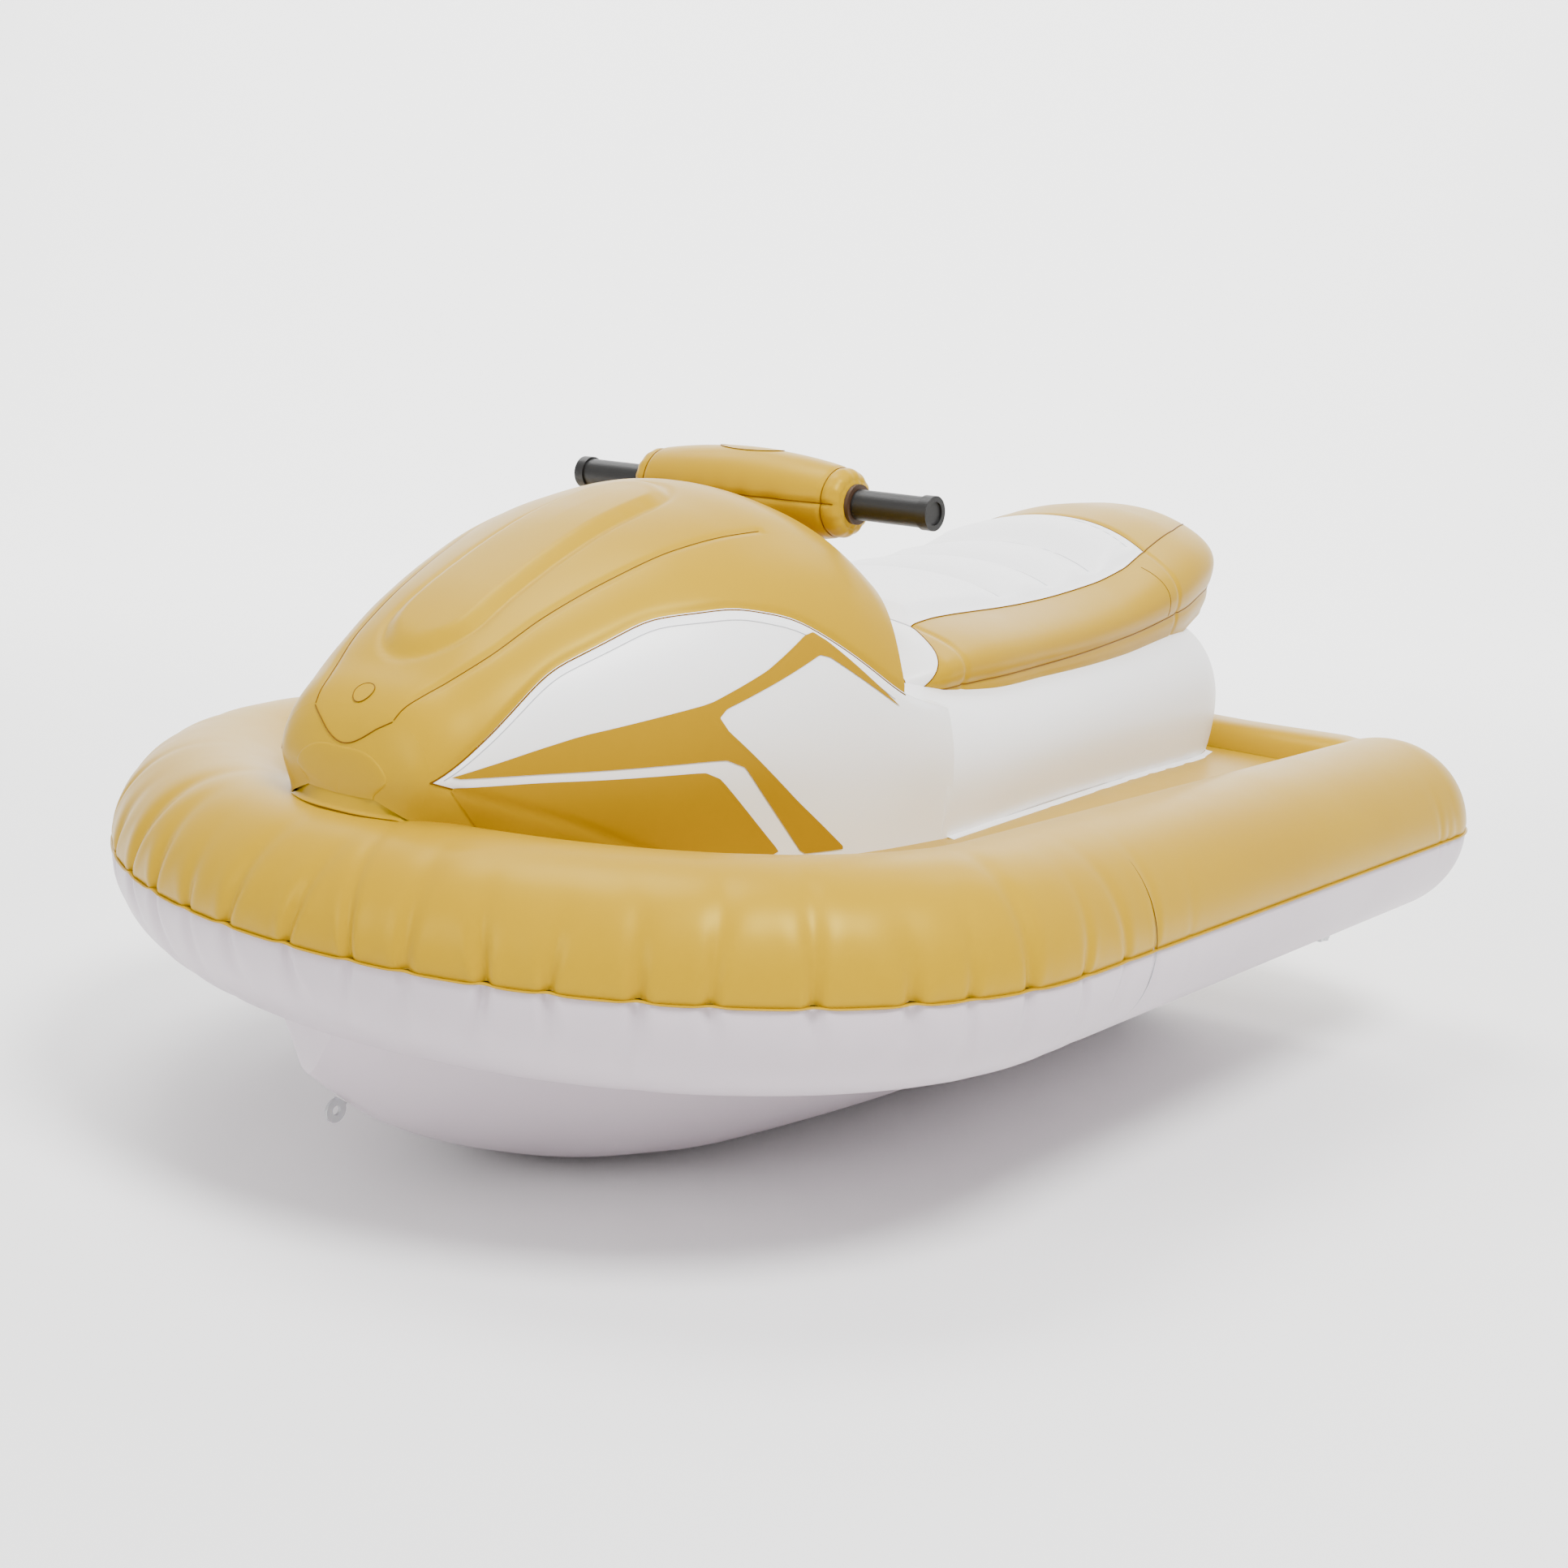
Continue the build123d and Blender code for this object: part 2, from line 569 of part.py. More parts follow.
barrel_bore = neck_r + run_fit
for key, plane in valve_planes.items():
    base = join(ring(plane, -valve_depth, 0, valve_barrel_r, barrel_bore),
                ring(plane, 0, valve_flange_t, valve_flange_r, barrel_bore))
    finish(base, "valve_" + key + "_base")
    lip_top = -valve_depth - 0.3
    neck = join(ring(plane, lip_top, neck_top, neck_r, neck_bore_r),
                ring(plane, lip_top - neck_lip_t, lip_top, neck_lip_r, neck_bore_r),
                local_block(plane, (6.5, 15), (lug_in, lug_out), (lug_low, neck_top)),
                local_block(plane, (6.5, 15), (-lug_out, -lug_in), (lug_low, neck_top)),
                local_block(plane, (8.0, 15), (lug_in, lug_out), (neck_top, hinge_z + 2)),
                local_block(plane, (8.0, 15), (-lug_out, -lug_in), (neck_top, hinge_z + 2)),
                bar_along(plane, hinge_x, hinge_z, lug_out, pin_r))
    finish(neck, "valve_" + key + "_neck")
    cap_low = neck_top + cap_gap
    knuckle_hole = bar_along(plane, hinge_x, hinge_z, lug_out, pin_r + run_fit)
    cap = cut(join(hole_tool(plane.offset(cap_low), cap_r, 0, cap_t),
                   hole_tool(plane.offset(cap_low), plug_r, plug_len, 0.5),
                   local_block(plane, (5.0, hinge_x), (-lug_in + 0.3, lug_in - 0.3), (cap_low, cap_low + cap_t)),
                   bar_along(plane, hinge_x, hinge_z, lug_in - 0.3, knuckle_r)), knuckle_hole)
    finish(cap, "valve_" + key + "_cap")
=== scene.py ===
# %% [markdown]
# An inflatable ride-on water float, built over its CAD frame. The frame gives every piece its place and its
# joints. The soft skins of the CAD are plain closed shells, so each one that shows is modelled again here as
# an air-filled vinyl skin with its own puckers, weld lines and puffed panels. Small hard pieces such as the
# grips, the tow eye and the valves keep their CAD shape and only get a finish.

# %% Setup
import math

import bpy
import numpy as np
from mathutils import Matrix, Vector
from mathutils.geometry import delaunay_2d_cdt


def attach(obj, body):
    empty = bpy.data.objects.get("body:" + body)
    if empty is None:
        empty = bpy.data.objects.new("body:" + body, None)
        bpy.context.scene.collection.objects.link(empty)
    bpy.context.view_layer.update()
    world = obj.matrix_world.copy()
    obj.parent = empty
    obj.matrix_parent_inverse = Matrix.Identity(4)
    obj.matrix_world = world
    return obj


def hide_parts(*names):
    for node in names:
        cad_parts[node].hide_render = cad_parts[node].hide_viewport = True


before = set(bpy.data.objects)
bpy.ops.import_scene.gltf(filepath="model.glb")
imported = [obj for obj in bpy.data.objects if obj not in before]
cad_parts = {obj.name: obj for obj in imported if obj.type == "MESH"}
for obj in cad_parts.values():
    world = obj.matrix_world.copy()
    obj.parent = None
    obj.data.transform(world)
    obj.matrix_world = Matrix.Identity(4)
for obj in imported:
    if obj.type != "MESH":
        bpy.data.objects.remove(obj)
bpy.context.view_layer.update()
rng = np.random.default_rng(7)
MM = 0.001
SEAM_Z = 280.0  # the hull's weld seam; heights in the tables below count from it
DECK_Z = 52  # the deck, over the seam
TUBE_R = 105.0
BOW_CX, BOW_XR, BOW_YR = 269.0, 376.0, 462.0  # centre and half axes of the bend round the bow
LINE_END_X, DOME_LEN = -620.0, 130.0  # the sides run straight to here, then round off over this length
SIDE_SLOPE = 0.0204  # the sides close in towards the stern
CROSS_X = 140.0  # the cross welds between bow film and side film
BAR_X, BAR_Z = 89.0, SEAM_Z + 380.0
SIDES = ((1, "port"), (-1, "starboard"))

# %% [markdown]
# Vinyl film on a real float is calendered PVC: satin, faintly uneven in colour, with a fine grain and
# a soft waviness where the air pushes it out. One builder makes each of the finishes, because the yellow, white
# and lavender skins are the same film in other colours. The colour variation, grain and wear are all noise
# in object space: it needs no unwrapping, and nothing slides when a piece moves.


# %% Vinyl film
def vinyl(name, color, shade, roughness=0.34, coat=0.1, grain=0.05, wave=0.12, soil=0.06, sss=0.03, tint=None):
    """Film in two close tones, with faint soil, uneven gloss, a fine grain and a slow wave."""
    mat = bpy.data.materials.new(name)
    mat.use_nodes = True
    nodes, links = mat.node_tree.nodes, mat.node_tree.links
    shader = nodes["Principled BSDF"]
    place = nodes.new("ShaderNodeTexCoord")

    def noise(scale, detail=3.0, rough=0.5):
        node = nodes.new("ShaderNodeTexNoise")
        node.inputs["Scale"].default_value = scale
        node.inputs["Detail"].default_value = detail
        node.inputs["Roughness"].default_value = rough
        links.new(place.outputs["Object"], node.inputs["Vector"])
        return node

    def stretch(source, **ends):
        node = nodes.new("ShaderNodeMapRange")
        for end, value in ends.items():
            node.inputs[end.replace("_", " ").title()].default_value = value
        links.new(source.outputs["Fac"], node.inputs["Value"])
        return node.outputs["Result"]

    def blend(factor, second):
        node = nodes.new("ShaderNodeMix")
        node.data_type = "RGBA"
        node.inputs["B"].default_value = (*second, 1)
        links.new(factor, node.inputs["Factor"])
        return node

    def bump(height, strength, distance):
        node = nodes.new("ShaderNodeBump")
        node.inputs["Strength"].default_value = strength
        node.inputs["Distance"].default_value = distance
        links.new(height.outputs["Fac"], node.inputs["Height"])
        return node

    tone = blend(stretch(noise(3.2, 4.0), from_min=0.3, from_max=0.7), shade)
    tone.inputs["A"].default_value = (*color, 1)
    soiled = [channel * 0.72 for channel in shade]
    worn = blend(stretch(noise(38.0, 6.0, 0.7), from_min=0.62, from_max=0.78, to_max=soil), soiled)
    links.new(tone.outputs["Result"], worn.inputs["A"])
    links.new(worn.outputs["Result"], shader.inputs["Base Color"])
    gloss = stretch(noise(11.0, 5.0, 0.6), to_min=roughness - 0.06, to_max=roughness + 0.08)
    links.new(gloss, shader.inputs["Roughness"])
    fine, slow = bump(noise(520.0, 2.0), grain, 0.0004), bump(noise(9.0, 3.0), wave, 0.004)
    links.new(fine.outputs["Normal"], slow.inputs["Normal"])
    links.new(slow.outputs["Normal"], shader.inputs["Normal"])
    if tint:
        shader.inputs["Specular Tint"].default_value = (*tint, 1)
        shader.inputs["IOR"].default_value = 1.36
    shader.inputs["Coat Weight"].default_value = coat
    shader.inputs["Coat Roughness"].default_value = 0.22
    shader.inputs["Subsurface Weight"].default_value = sss
    shader.inputs["Subsurface Radius"].default_value = (0.01, 0.006, 0.003)
    return mat


print("film builder ready")

# %% [markdown]
# The colours are set a little deeper than the eye names them, because broad studio light washes bright film
# out. The yellow throws back a golden gleam instead of a white one, which keeps its highlights warm. The printed
# decals are a shade darker than the film they lie on, and weld lines are darker still, since the pressed film is
# thicker there and lies in its own shadow.

# %% Finishes
GOLD = (1.0, 0.8, 0.2)
YELLOW = vinyl("yellow_vinyl", (0.43, 0.256, 0.0), (0.405, 0.235, 0.0), coat=0.0, tint=GOLD)
PRINT = vinyl("yellow_print", (0.36, 0.20, 0.0), (0.33, 0.18, 0.0), coat=0.0, tint=GOLD)
LINE = vinyl("weld_line", (0.15, 0.06, 0.0), (0.12, 0.045, 0.0), roughness=0.45, coat=0.0, tint=GOLD)
WHITE = vinyl("white_vinyl", (0.93, 0.93, 0.935), (0.90, 0.90, 0.91), roughness=0.38, sss=0.05)
# Grey weld lines; on the quilt channels the same grey is also painted shade along the crease.
WHITE_LINE = vinyl("white_weld_line_and_crease_shade", (0.44, 0.44, 0.47), (0.37, 0.37, 0.40), roughness=0.45, coat=0.0)
UNDER = vinyl("underside_vinyl", (0.57, 0.495, 0.54), (0.52, 0.45, 0.495), roughness=0.36)
BLACK = vinyl("black_grip", (0.004, 0.004, 0.004), (0.007, 0.0065, 0.006), roughness=0.42, coat=0.0, grain=0.3,
              sss=0)
BAR = vinyl("bar_tube", (0.03, 0.03, 0.03), (0.04, 0.038, 0.036), roughness=0.3, sss=0)
DARK = vinyl("collar_rubber", (0.05, 0.022, 0.008), (0.03, 0.014, 0.006), roughness=0.5, coat=0.0, sss=0)
VALVE = vinyl("valve_vinyl", (0.74, 0.75, 0.77), (0.66, 0.67, 0.70), roughness=0.25, sss=0.1)
CLEAR = vinyl("clear_vinyl", (0.62, 0.61, 0.63), (0.50, 0.50, 0.52), roughness=0.22, sss=0.15)
CLEAR.node_tree.nodes["Principled BSDF"].inputs["Transmission Weight"].default_value = 0.35
print(len(bpy.data.materials), "finishes")

# %% [markdown]
# All skins share the same few mesh steps: a grid of points becomes a surface, and several grids become one
# piece, which is tied to its moving body, its finish and the frame pieces that it stands for.
# Keeping this in one place makes each later piece short.


# %% Mesh helpers
def make_object(name, verts, faces, material, body="float", slot_name="yellow_vinyl", nodes=(), smooth=True):
    mesh = bpy.data.meshes.new(name)
    mesh.from_pydata((np.asarray(verts) * MM).tolist(), [], faces)
    mesh.validate()
    mesh.polygons.foreach_set("use_smooth", [smooth] * len(mesh.polygons))
    mesh.materials.append(material)
    obj = bpy.data.objects.new(name, mesh)
    bpy.context.scene.collection.objects.link(obj)
    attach(obj, body)
    if nodes:
        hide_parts(*nodes)
    return obj


def grid_faces(rows, cols, start=0, loop=False):
    faces = []
    for i in range(rows - 1):
        for j in range(cols if loop else cols - 1):
            a, b = start + i * cols + j, start + i * cols + (j + 1) % cols
            faces.append((a, b, b + cols, a + cols))
    return faces


class Patchwork:
    """Collects several grids into one mesh."""

    def __init__(self):
        self.verts, self.faces, self.count = [], [], 0

    def grid(self, points, loop=False, flip=False):
        rows, cols = points.shape[:2]
        faces = grid_faces(rows, cols, self.count, loop)
        self.faces += [f[::-1] for f in faces] if flip else faces
        self.verts.append(points.reshape(-1, 3))
        self.count += rows * cols
        return self

    def build(self, name, material, **keys):
        return make_object(name, np.concatenate(self.verts), self.faces, material, **keys)


print("mesh helpers ready")

# %% [markdown]
# A weld or a stitch shows as a thin raised line. It could be painted on, but a real bead catches the light from
# every side, so each one is a slim six-sided strip laid along the surface.


# %% Weld beads
def strip(points, normals, width=1.0, height=0.6, closed=False):
    """A thin rounded bead lying on a surface, for weld and stitch lines."""
    points, normals = np.asarray(points, float), np.asarray(normals, float)
    along = np.gradient(points, axis=0)
    if closed:
        along = np.roll(points, -1, 0) - np.roll(points, 1, 0)
    along /= np.linalg.norm(along, axis=1)[:, None] + 1e-9
    across = np.cross(along, normals)
    ring = np.linspace(0, 2 * math.pi, 7)[:-1]
    body = (points[:, None] + across[:, None] * (width / 2 * np.cos(ring))[None, :, None]
            + normals[:, None] * (height * np.sin(ring))[None, :, None])
    if closed:
        body = np.concatenate([body, body[:1]])
    return body


def bead(name, points, normals, material, width=1.0, height=0.6, closed=False, **keys):
    return Patchwork().grid(strip(points, normals, width, height, closed), loop=True).build(name, material, **keys)


def smooth_step(value, low, high):
    t = np.clip((value - low) / (high - low), 0, 1)
    return t * t * (3 - 2 * t)


print("bead helpers ready")

# %% [markdown]
# The hull is one U-shaped air tube, welded from an upper yellow and a lower pale skin along a seam at half height.
# Its centre line is two straight sides joined by half an ellipse. The line is resampled at even steps, so
# that a distance along the seam is all it takes to place a skin, a weld or a fold.


# %% Hull path
def hull_centreline(step=2.0):
    """Points and outward normals along the tube, from the port stern round the bow to the starboard stern."""
    tilt = math.radians(0.95)
    angles = np.linspace(math.pi / 2 + tilt, -math.pi / 2 - tilt, 900)
    arc = np.stack([BOW_CX + BOW_XR * np.cos(angles), BOW_YR * np.sin(angles)], 1)
    y_end = BOW_YR - SIDE_SLOPE * (BOW_CX - LINE_END_X)
    line = np.linspace([LINE_END_X, y_end], arc[0], 400)[:-1]
    path = np.concatenate([line, arc, (line * [1, -1])[::-1]])
    length = np.concatenate([[0], np.cumsum(np.linalg.norm(np.diff(path, axis=0), axis=1))])
    u = np.linspace(0, length[-1], int(length[-1] / step))
    path = np.stack([np.interp(u, length, path[:, k]) for k in (0, 1)], 1)
    along = np.gradient(path, axis=0)
    along /= np.linalg.norm(along, axis=1)[:, None]
    return u, path, np.stack([-along[:, 1], along[:, 0]], 1)


HULL_U, HULL_C, HULL_N = hull_centreline()
HULL_END = HULL_U[-1]


def hull_frame(u):
    """Centre, outward normal and way along the stern dome for seam positions u."""
    inside = np.clip(u, 0, HULL_END)
    centre = np.stack([np.interp(inside, HULL_U, HULL_C[:, k]) for k in (0, 1)], -1)
    normal = np.stack([np.interp(inside, HULL_U, HULL_N[:, k]) for k in (0, 1)], -1)
    past = np.clip(np.maximum(-u, u - HULL_END) / DOME_LEN, 0, 1)
    return centre, normal, past


def u_at_x(x, port=True):
    """Path position of the straight side at a given x."""
    half = HULL_C[: len(HULL_C) // 2, 0]
    u = np.interp(x, half, HULL_U[: len(half)])
    return u if port else HULL_END - u


U_PORT, U_STAR = u_at_x(CROSS_X), u_at_x(CROSS_X, False)
print("seam length", round(HULL_END), "mm")

# %% [markdown]
# Flat film bent round a tight curve has too much length at the inside of the weld, so it gathers into
# puckers that run out from the seam and fade. They are cut here as narrow tapering grooves placed along
# the bow, which is cheaper and easier to place than a cloth simulation and gives the same crisp folds.


# %% Puckers
def place_puckers():
    """Where the film gathers: position along the seam, depth, reach up, reach down, width, lean."""
    found = []
    plain = 620.0  # the straight sides lie flat up to here
    position = plain
    while position < HULL_END - plain:
        middle = 1 - abs(position - HULL_END / 2) / (HULL_END / 2 - plain)
        strength = smooth_step(np.array(middle), 0.0, 0.45) * rng.uniform(0.55, 1.0)
        if strength > 0.05:
            found.append((position, 7.0 * strength, rng.uniform(42, 105), rng.uniform(34, 78),
                          rng.uniform(2.8, 5.0), rng.uniform(-0.2, 0.2)))
        position += rng.uniform(44, 74)
    for side in (0, 1):
        for k in range(7):
            at = -DOME_LEN + 30 + 24 * k + rng.uniform(-5, 5)
            found.append((at if side == 0 else HULL_END - at, rng.uniform(0.8, 2.0), rng.uniform(20, 44),
                          rng.uniform(12, 28), rng.uniform(3.5, 5.0), rng.uniform(-0.1, 0.1)))
    return found


PUCKERS = place_puckers()


def hull_relief(u, arc, upper):
    """Height over the plain tube at seam position u and distance arc from the outer seam."""
    relief = -2.2 * np.exp(-arc / 5.0) + 0.0 * u
    for at, depth, up, down, width, lean in PUCKERS:
        reach = up if upper else down
        spread = width * (1 + 1.3 * arc / reach)
        offset = (u - at - lean * arc) / spread
        fade = np.exp(-(arc / reach) ** 1.6)
        relief += fade * depth * (-np.exp(-offset ** 2) + 0.16 * np.exp(-((np.abs(offset) - 2.4) / 1.2) ** 2))
    return relief


def scallop(u):
    """The seam itself drops a little at each pucker and swells between them."""
    wave = np.zeros_like(u)
    for at, depth, *_ in PUCKERS:
        wave += 0.30 * depth * np.exp(-((u - at) / 9.0) ** 2)
    return wave


print(len(PUCKERS), "puckers")

# %% [markdown]
# A tube skin is half a circle swept along the centre line, with the pucker relief added to its radius. Rows are
# packed close to the outer seam, where the folds are sharp, and spread out inboard. Upper and lower skins
# each come as a bow piece and two side pieces, as the film is cut on the real float.


# %% Hull skins
def hull_skin(upper, u_from, u_to, step, arc_step):
    """A half-round skin between two path positions; positions past either end run over the stern dome."""
    u = np.arange(u_from, u_to + step / 2, step)
    centre, normal, past = hull_frame(u)
    normal /= np.linalg.norm(normal, axis=1)[:, None]
    centre[:, 0] -= DOME_LEN * np.sin(past * math.pi / 2)
    shrink = np.cos(past * math.pi / 2)
    near = np.linspace(0, 1, int(math.pi * TUBE_R / arc_step)) ** 1.35
    angle = near * math.pi
    arc = TUBE_R * angle
    relief = hull_relief(u[:, None], arc[None], upper)
    radius = np.maximum((TUBE_R + relief) * shrink[:, None], 0.02)
    sign = 1 if upper else -1
    drop = scallop(u)[:, None] * np.exp(-arc / 9.0)[None]
    points = np.zeros((len(u), len(arc), 3))
    points[..., :2] = centre[:, None] + normal[:, None] * (radius * np.cos(angle))[..., None]
    points[..., 2] = SEAM_Z + sign * radius * np.sin(angle) + sign * 0.7 + drop
    return points


for level, upper, material, slot_name in (("upper", True, YELLOW, "yellow_vinyl"),
                                          ("lower", False, UNDER, "underside_vinyl")):
    coarse = 3.0
    parts = {
        "bow": (U_PORT, U_STAR, 2.2),
        "port": (-DOME_LEN, U_PORT, coarse),
        "starboard": (U_STAR, HULL_END + DOME_LEN, coarse),
    }
    for where, (start, end, step) in parts.items():
        points = hull_skin(upper, start, end, step, 2.4)
        Patchwork().grid(points, flip=not upper).build("hull_" + where + "_" + level + "_skin", material,
                                                  slot_name=slot_name, nodes=("hull_" + where + "_" + level,))
print("hull skins made")

# %% [markdown]
# Upper and lower skin are welded into a thin flat flange all round, with a pressed bead that rises and falls
# with the puckers. A second weld crosses each side tube where the bow and stern films are joined. Both are
# modelled as narrow raised strips, since it is their edge catching light that makes them read.


# %% Hull seams
def seam_ring(grow):
    u = np.linspace(-DOME_LEN * 0.995, HULL_END + DOME_LEN * 0.995, 1500)
    centre, normal, past = hull_frame(u)
    centre[:, 0] -= (DOME_LEN + grow) * np.sin(past * math.pi / 2)
    radius = (TUBE_R - 2.4 + grow) * np.cos(past * math.pi / 2)
    points = np.zeros((len(u), 3))
    points[:, :2] = centre + normal * radius[:, None]
    points[:, 2] = SEAM_Z + scallop(u)
    return points


rim = [seam_ring(g) for g in (-1.5, 2.2, 3.6, 3.6, 2.2, -1.5)]
for ring_points, lift in zip(rim, (0.9, 0.8, 0.35, -0.35, -0.8, -0.9)):
    ring_points[:, 2] += lift
Patchwork().grid(np.stack(rim, 1), loop=True, flip=True).build(
    "hull_weld_flange", YELLOW, nodes=("hull_seam_band",))
for where, at in (("port", U_PORT), ("starboard", U_STAR)):
    centre, normal, _ = hull_frame(at)
    angle = np.linspace(0.02, math.pi - 0.02, 80)
    for level, sign, line, slot_name in (("upper", 1, LINE, "yellow_vinyl"),
                                         ("lower", -1, WHITE_LINE, "underside_vinyl")):
        out = np.stack([normal[0] * np.cos(angle), normal[1] * np.cos(angle), np.sin(angle) * sign], 1)
        points = np.array([centre[0], centre[1], SEAM_Z]) + out * (TUBE_R + 0.05)
        bead("cross_weld_" + where + "_" + level, points, out, line, width=1.3, height=0.45, slot_name=slot_name)
print("seams made")

# %% [markdown]
# Hood, body, seat and keel are blown-up shapes whose cross sections change slowly from front to back. Each is
# described by a short table of sections, and one function turns a place along the length and round the section
# into a point. Panels of different film can then be cut anywhere on the same form and still meet edge to edge.

# %% Section tables: x, base, top, half base, waist y z, shoulder y z
HOOD = np.array([
    (656, 120, 162, 44, 60, 138, 48, 154), (648, 108, 186, 74, 90, 140, 66, 174),
    (632, 98, 209, 94, 108, 142, 82, 194), (598, 80, 234, 118, 130, 140, 92, 218),
    (560, 64, 262, 146, 152, 136, 100, 244), (500, 52, 302, 180, 186, 142, 120, 276),
    (430, 52, 337, 212, 218, 150, 148, 298), (360, 52, 365, 240, 244, 160, 172, 318),
    (290, 52, 383, 262, 264, 166, 186, 330), (220, 52, 394, 276, 278, 162, 194, 336),
    (170, 52, 384, 284, 286, 156, 199, 327), (130, 52, 352, 288, 290, 148, 204, 302),
    (95, 52, 318, 290, 291, 140, 207, 276)], float)
BODY = np.array([
    (95, 52, 188, 290, 291, 118, 260, 177), (-100, 52, 184, 268, 270, 116, 238, 173),
    (-400, 52, 196, 236, 238, 120, 206, 185), (-560, 52, 208, 224, 226, 126, 192, 197),
    (-620, 52, 208, 208, 210, 128, 178, 195), (-648, 52, 192, 168, 172, 128, 146, 176)], float)
SEAT = np.array([
    (74, 176, 222, 196, 210, 198, 186, 214), (20, 172, 250, 220, 232, 206, 176, 240),
    (-60, 170, 268, 220, 230, 210, 158, 252), (-200, 174, 274, 208, 218, 214, 150, 256),
    (-400, 186, 294, 192, 202, 230, 146, 272), (-560, 200, 338, 178, 188, 258, 134, 310),
    (-640, 218, 348, 162, 174, 276, 122, 324), (-700, 226, 348, 136, 150, 288, 104, 328),
    (-742, 258, 322, 88, 98, 290, 74, 310)], float)
KEEL = np.array([
    (688, 45, 141, 56, 28, 104, 14, 128), (650, 45, 171, 124, 70, 118, 34, 152),
    (585, 45, 215, 206, 134, 134, 76, 186), (497, 45, 254, 280, 204, 144, 122, 220),
    (405, 45, 279, 326, 256, 150, 156, 244), (300, 45, 286, 352, 300, 150, 180, 254),
    (100, 45, 288, 370, 336, 150, 200, 256), (-200, 45, 288, 366, 338, 146, 206, 256),
    (-500, 45, 286, 360, 338, 140, 206, 254), (-590, 45, 252, 350, 326, 130, 180, 226),
    (-640, 45, 200, 290, 270, 110, 120, 180)], float)


print(len(HOOD) + len(BODY) + len(SEAT) + len(KEEL), "sections")

# %% [markdown]
# Between two sections of a table the form has to flow without a kink, as film under air does. A cubic that
# leaves and arrives at given slopes does this along the length and again round each section. It is a curve with
# no overshoot along the length, so that a chamber never bulges where its sections don't.


# %% Points on a form
def flow(t, width, start, start_slope, end, end_slope):
    """Cubic over a width, from start to end, with the slopes it leaves and arrives at."""
    return ((2 * t**3 - 3 * t**2 + 1) * start + (t**3 - 2 * t**2 + t) * width * start_slope
            + (3 * t**2 - 2 * t**3) * end + (t**3 - t**2) * width * end_slope)


def row_values(table, x):
    """Monotone smooth interpolation of the section table at any x."""
    order = np.argsort(table[:, 0])
    knots, values = table[order, 0], table[order, 1:]
    gap = np.diff(knots)
    slope = np.diff(values, axis=0) / gap[:, None]
    before, after = slope[:-1], slope[1:]
    inner = np.where(before * after > 0, 2 * before * after / (before + after + 1e-12), 0)
    tangent = np.concatenate([slope[:1], inner, slope[-1:]])
    x = np.clip(x, knots[0], knots[-1])
    k = np.clip(np.searchsorted(knots, x, side="right") - 1, 0, len(gap) - 1)
    width = gap[k][..., None]
    t = ((x - knots[k]) / gap[k])[..., None]
    return flow(t, width, values[k], tangent[k], values[k + 1], tangent[k + 1])


def section(table, x, s):
    """Half width and height over the seam at x, with s from 0 at the base to 1 at the centre line."""
    x, s = np.broadcast_arrays(np.asarray(x, float), np.asarray(s, float))
    v = row_values(table, x)
    knots = [np.stack([v[..., 2], v[..., 0]], -1), np.stack([v[..., 3], v[..., 4]], -1),
             np.stack([v[..., 5], v[..., 6]], -1), np.stack([0 * v[..., 0], v[..., 1]], -1)]
    h = [np.linalg.norm(b - a, axis=-1)[..., None] + 1e-6 for a, b in zip(knots, knots[1:])]
    turn = np.sign(v[..., 1] - v[..., 0])
    m0 = np.stack([0 * turn, turn], -1) * 0.8
    m3 = np.stack([-np.ones_like(turn), 0 * turn], -1)
    r1 = 3 * ((knots[1] - knots[0]) * h[1] / h[0] + (knots[2] - knots[1]) * h[0] / h[1]) - m0 * h[1]
    r2 = 3 * ((knots[2] - knots[1]) * h[2] / h[1] + (knots[3] - knots[2]) * h[1] / h[2]) - m3 * h[1]
    a11, a12, a21, a22 = 2 * (h[0] + h[1]), h[0], h[2], 2 * (h[1] + h[2])
    det = a11 * a22 - a12 * a21
    m1, m2 = (r1 * a22 - r2 * a12) / det, (r2 * a11 - r1 * a21) / det
    total = h[0] + h[1] + h[2]
    length = s[..., None] * total
    result = np.zeros(x.shape + (2,))
    start = np.zeros_like(total)
    slopes = [m0, m1, m2, m3]
    for k in range(3):
        t = np.clip((length - start) / h[k], 0, 1)
        here = (length >= start - 1e-9) & ((length <= start + h[k]) | (k == 2))
        point = flow(t, h[k], knots[k], slopes[k], knots[k + 1], slopes[k + 1])
        result = np.where(here, point, result)
        start = start + h[k]
    return result


def skin_point(table, x, s, side=1):
    yz = section(table, x, s)
    x = np.broadcast_to(np.asarray(x, float), yz.shape[:-1])
    return np.stack([x, side * yz[..., 0], SEAM_Z + yz[..., 1]], -1)


print("forms ready")

# %% [markdown]
# Panel edges are drawn as heights or widths, but a point on a form is named by its way round the section. These
# look-ups turn the one into the other, and the last helper closes the open end of a chamber with a blunt cap.

# %% Look-ups round a section
S_SAMPLES = np.linspace(0, 1, 121)


def s_at_height(table, x, z):
    """Where round the section the skin reaches height z over the seam."""
    out = np.zeros(len(x))
    for i, (xi, zi) in enumerate(zip(x, np.broadcast_to(z, (len(x),)))):
        heights = section(table, np.full(len(S_SAMPLES), xi), S_SAMPLES)[:, 1]
        out[i] = np.interp(zi, np.maximum.accumulate(heights), S_SAMPLES)
    return out


def s_at_width(table, x, y):
    """Where round the section the skin has come in to half width y."""
    out = np.zeros(len(x))
    for i, (xi, yi) in enumerate(zip(x, np.broadcast_to(y, (len(x),)))):
        widths = section(table, np.full(len(S_SAMPLES), xi), S_SAMPLES)[:, 0]
        top = int(widths.argmax())
        out[i] = np.interp(-yi, -widths[top:], S_SAMPLES[top:])
    return out


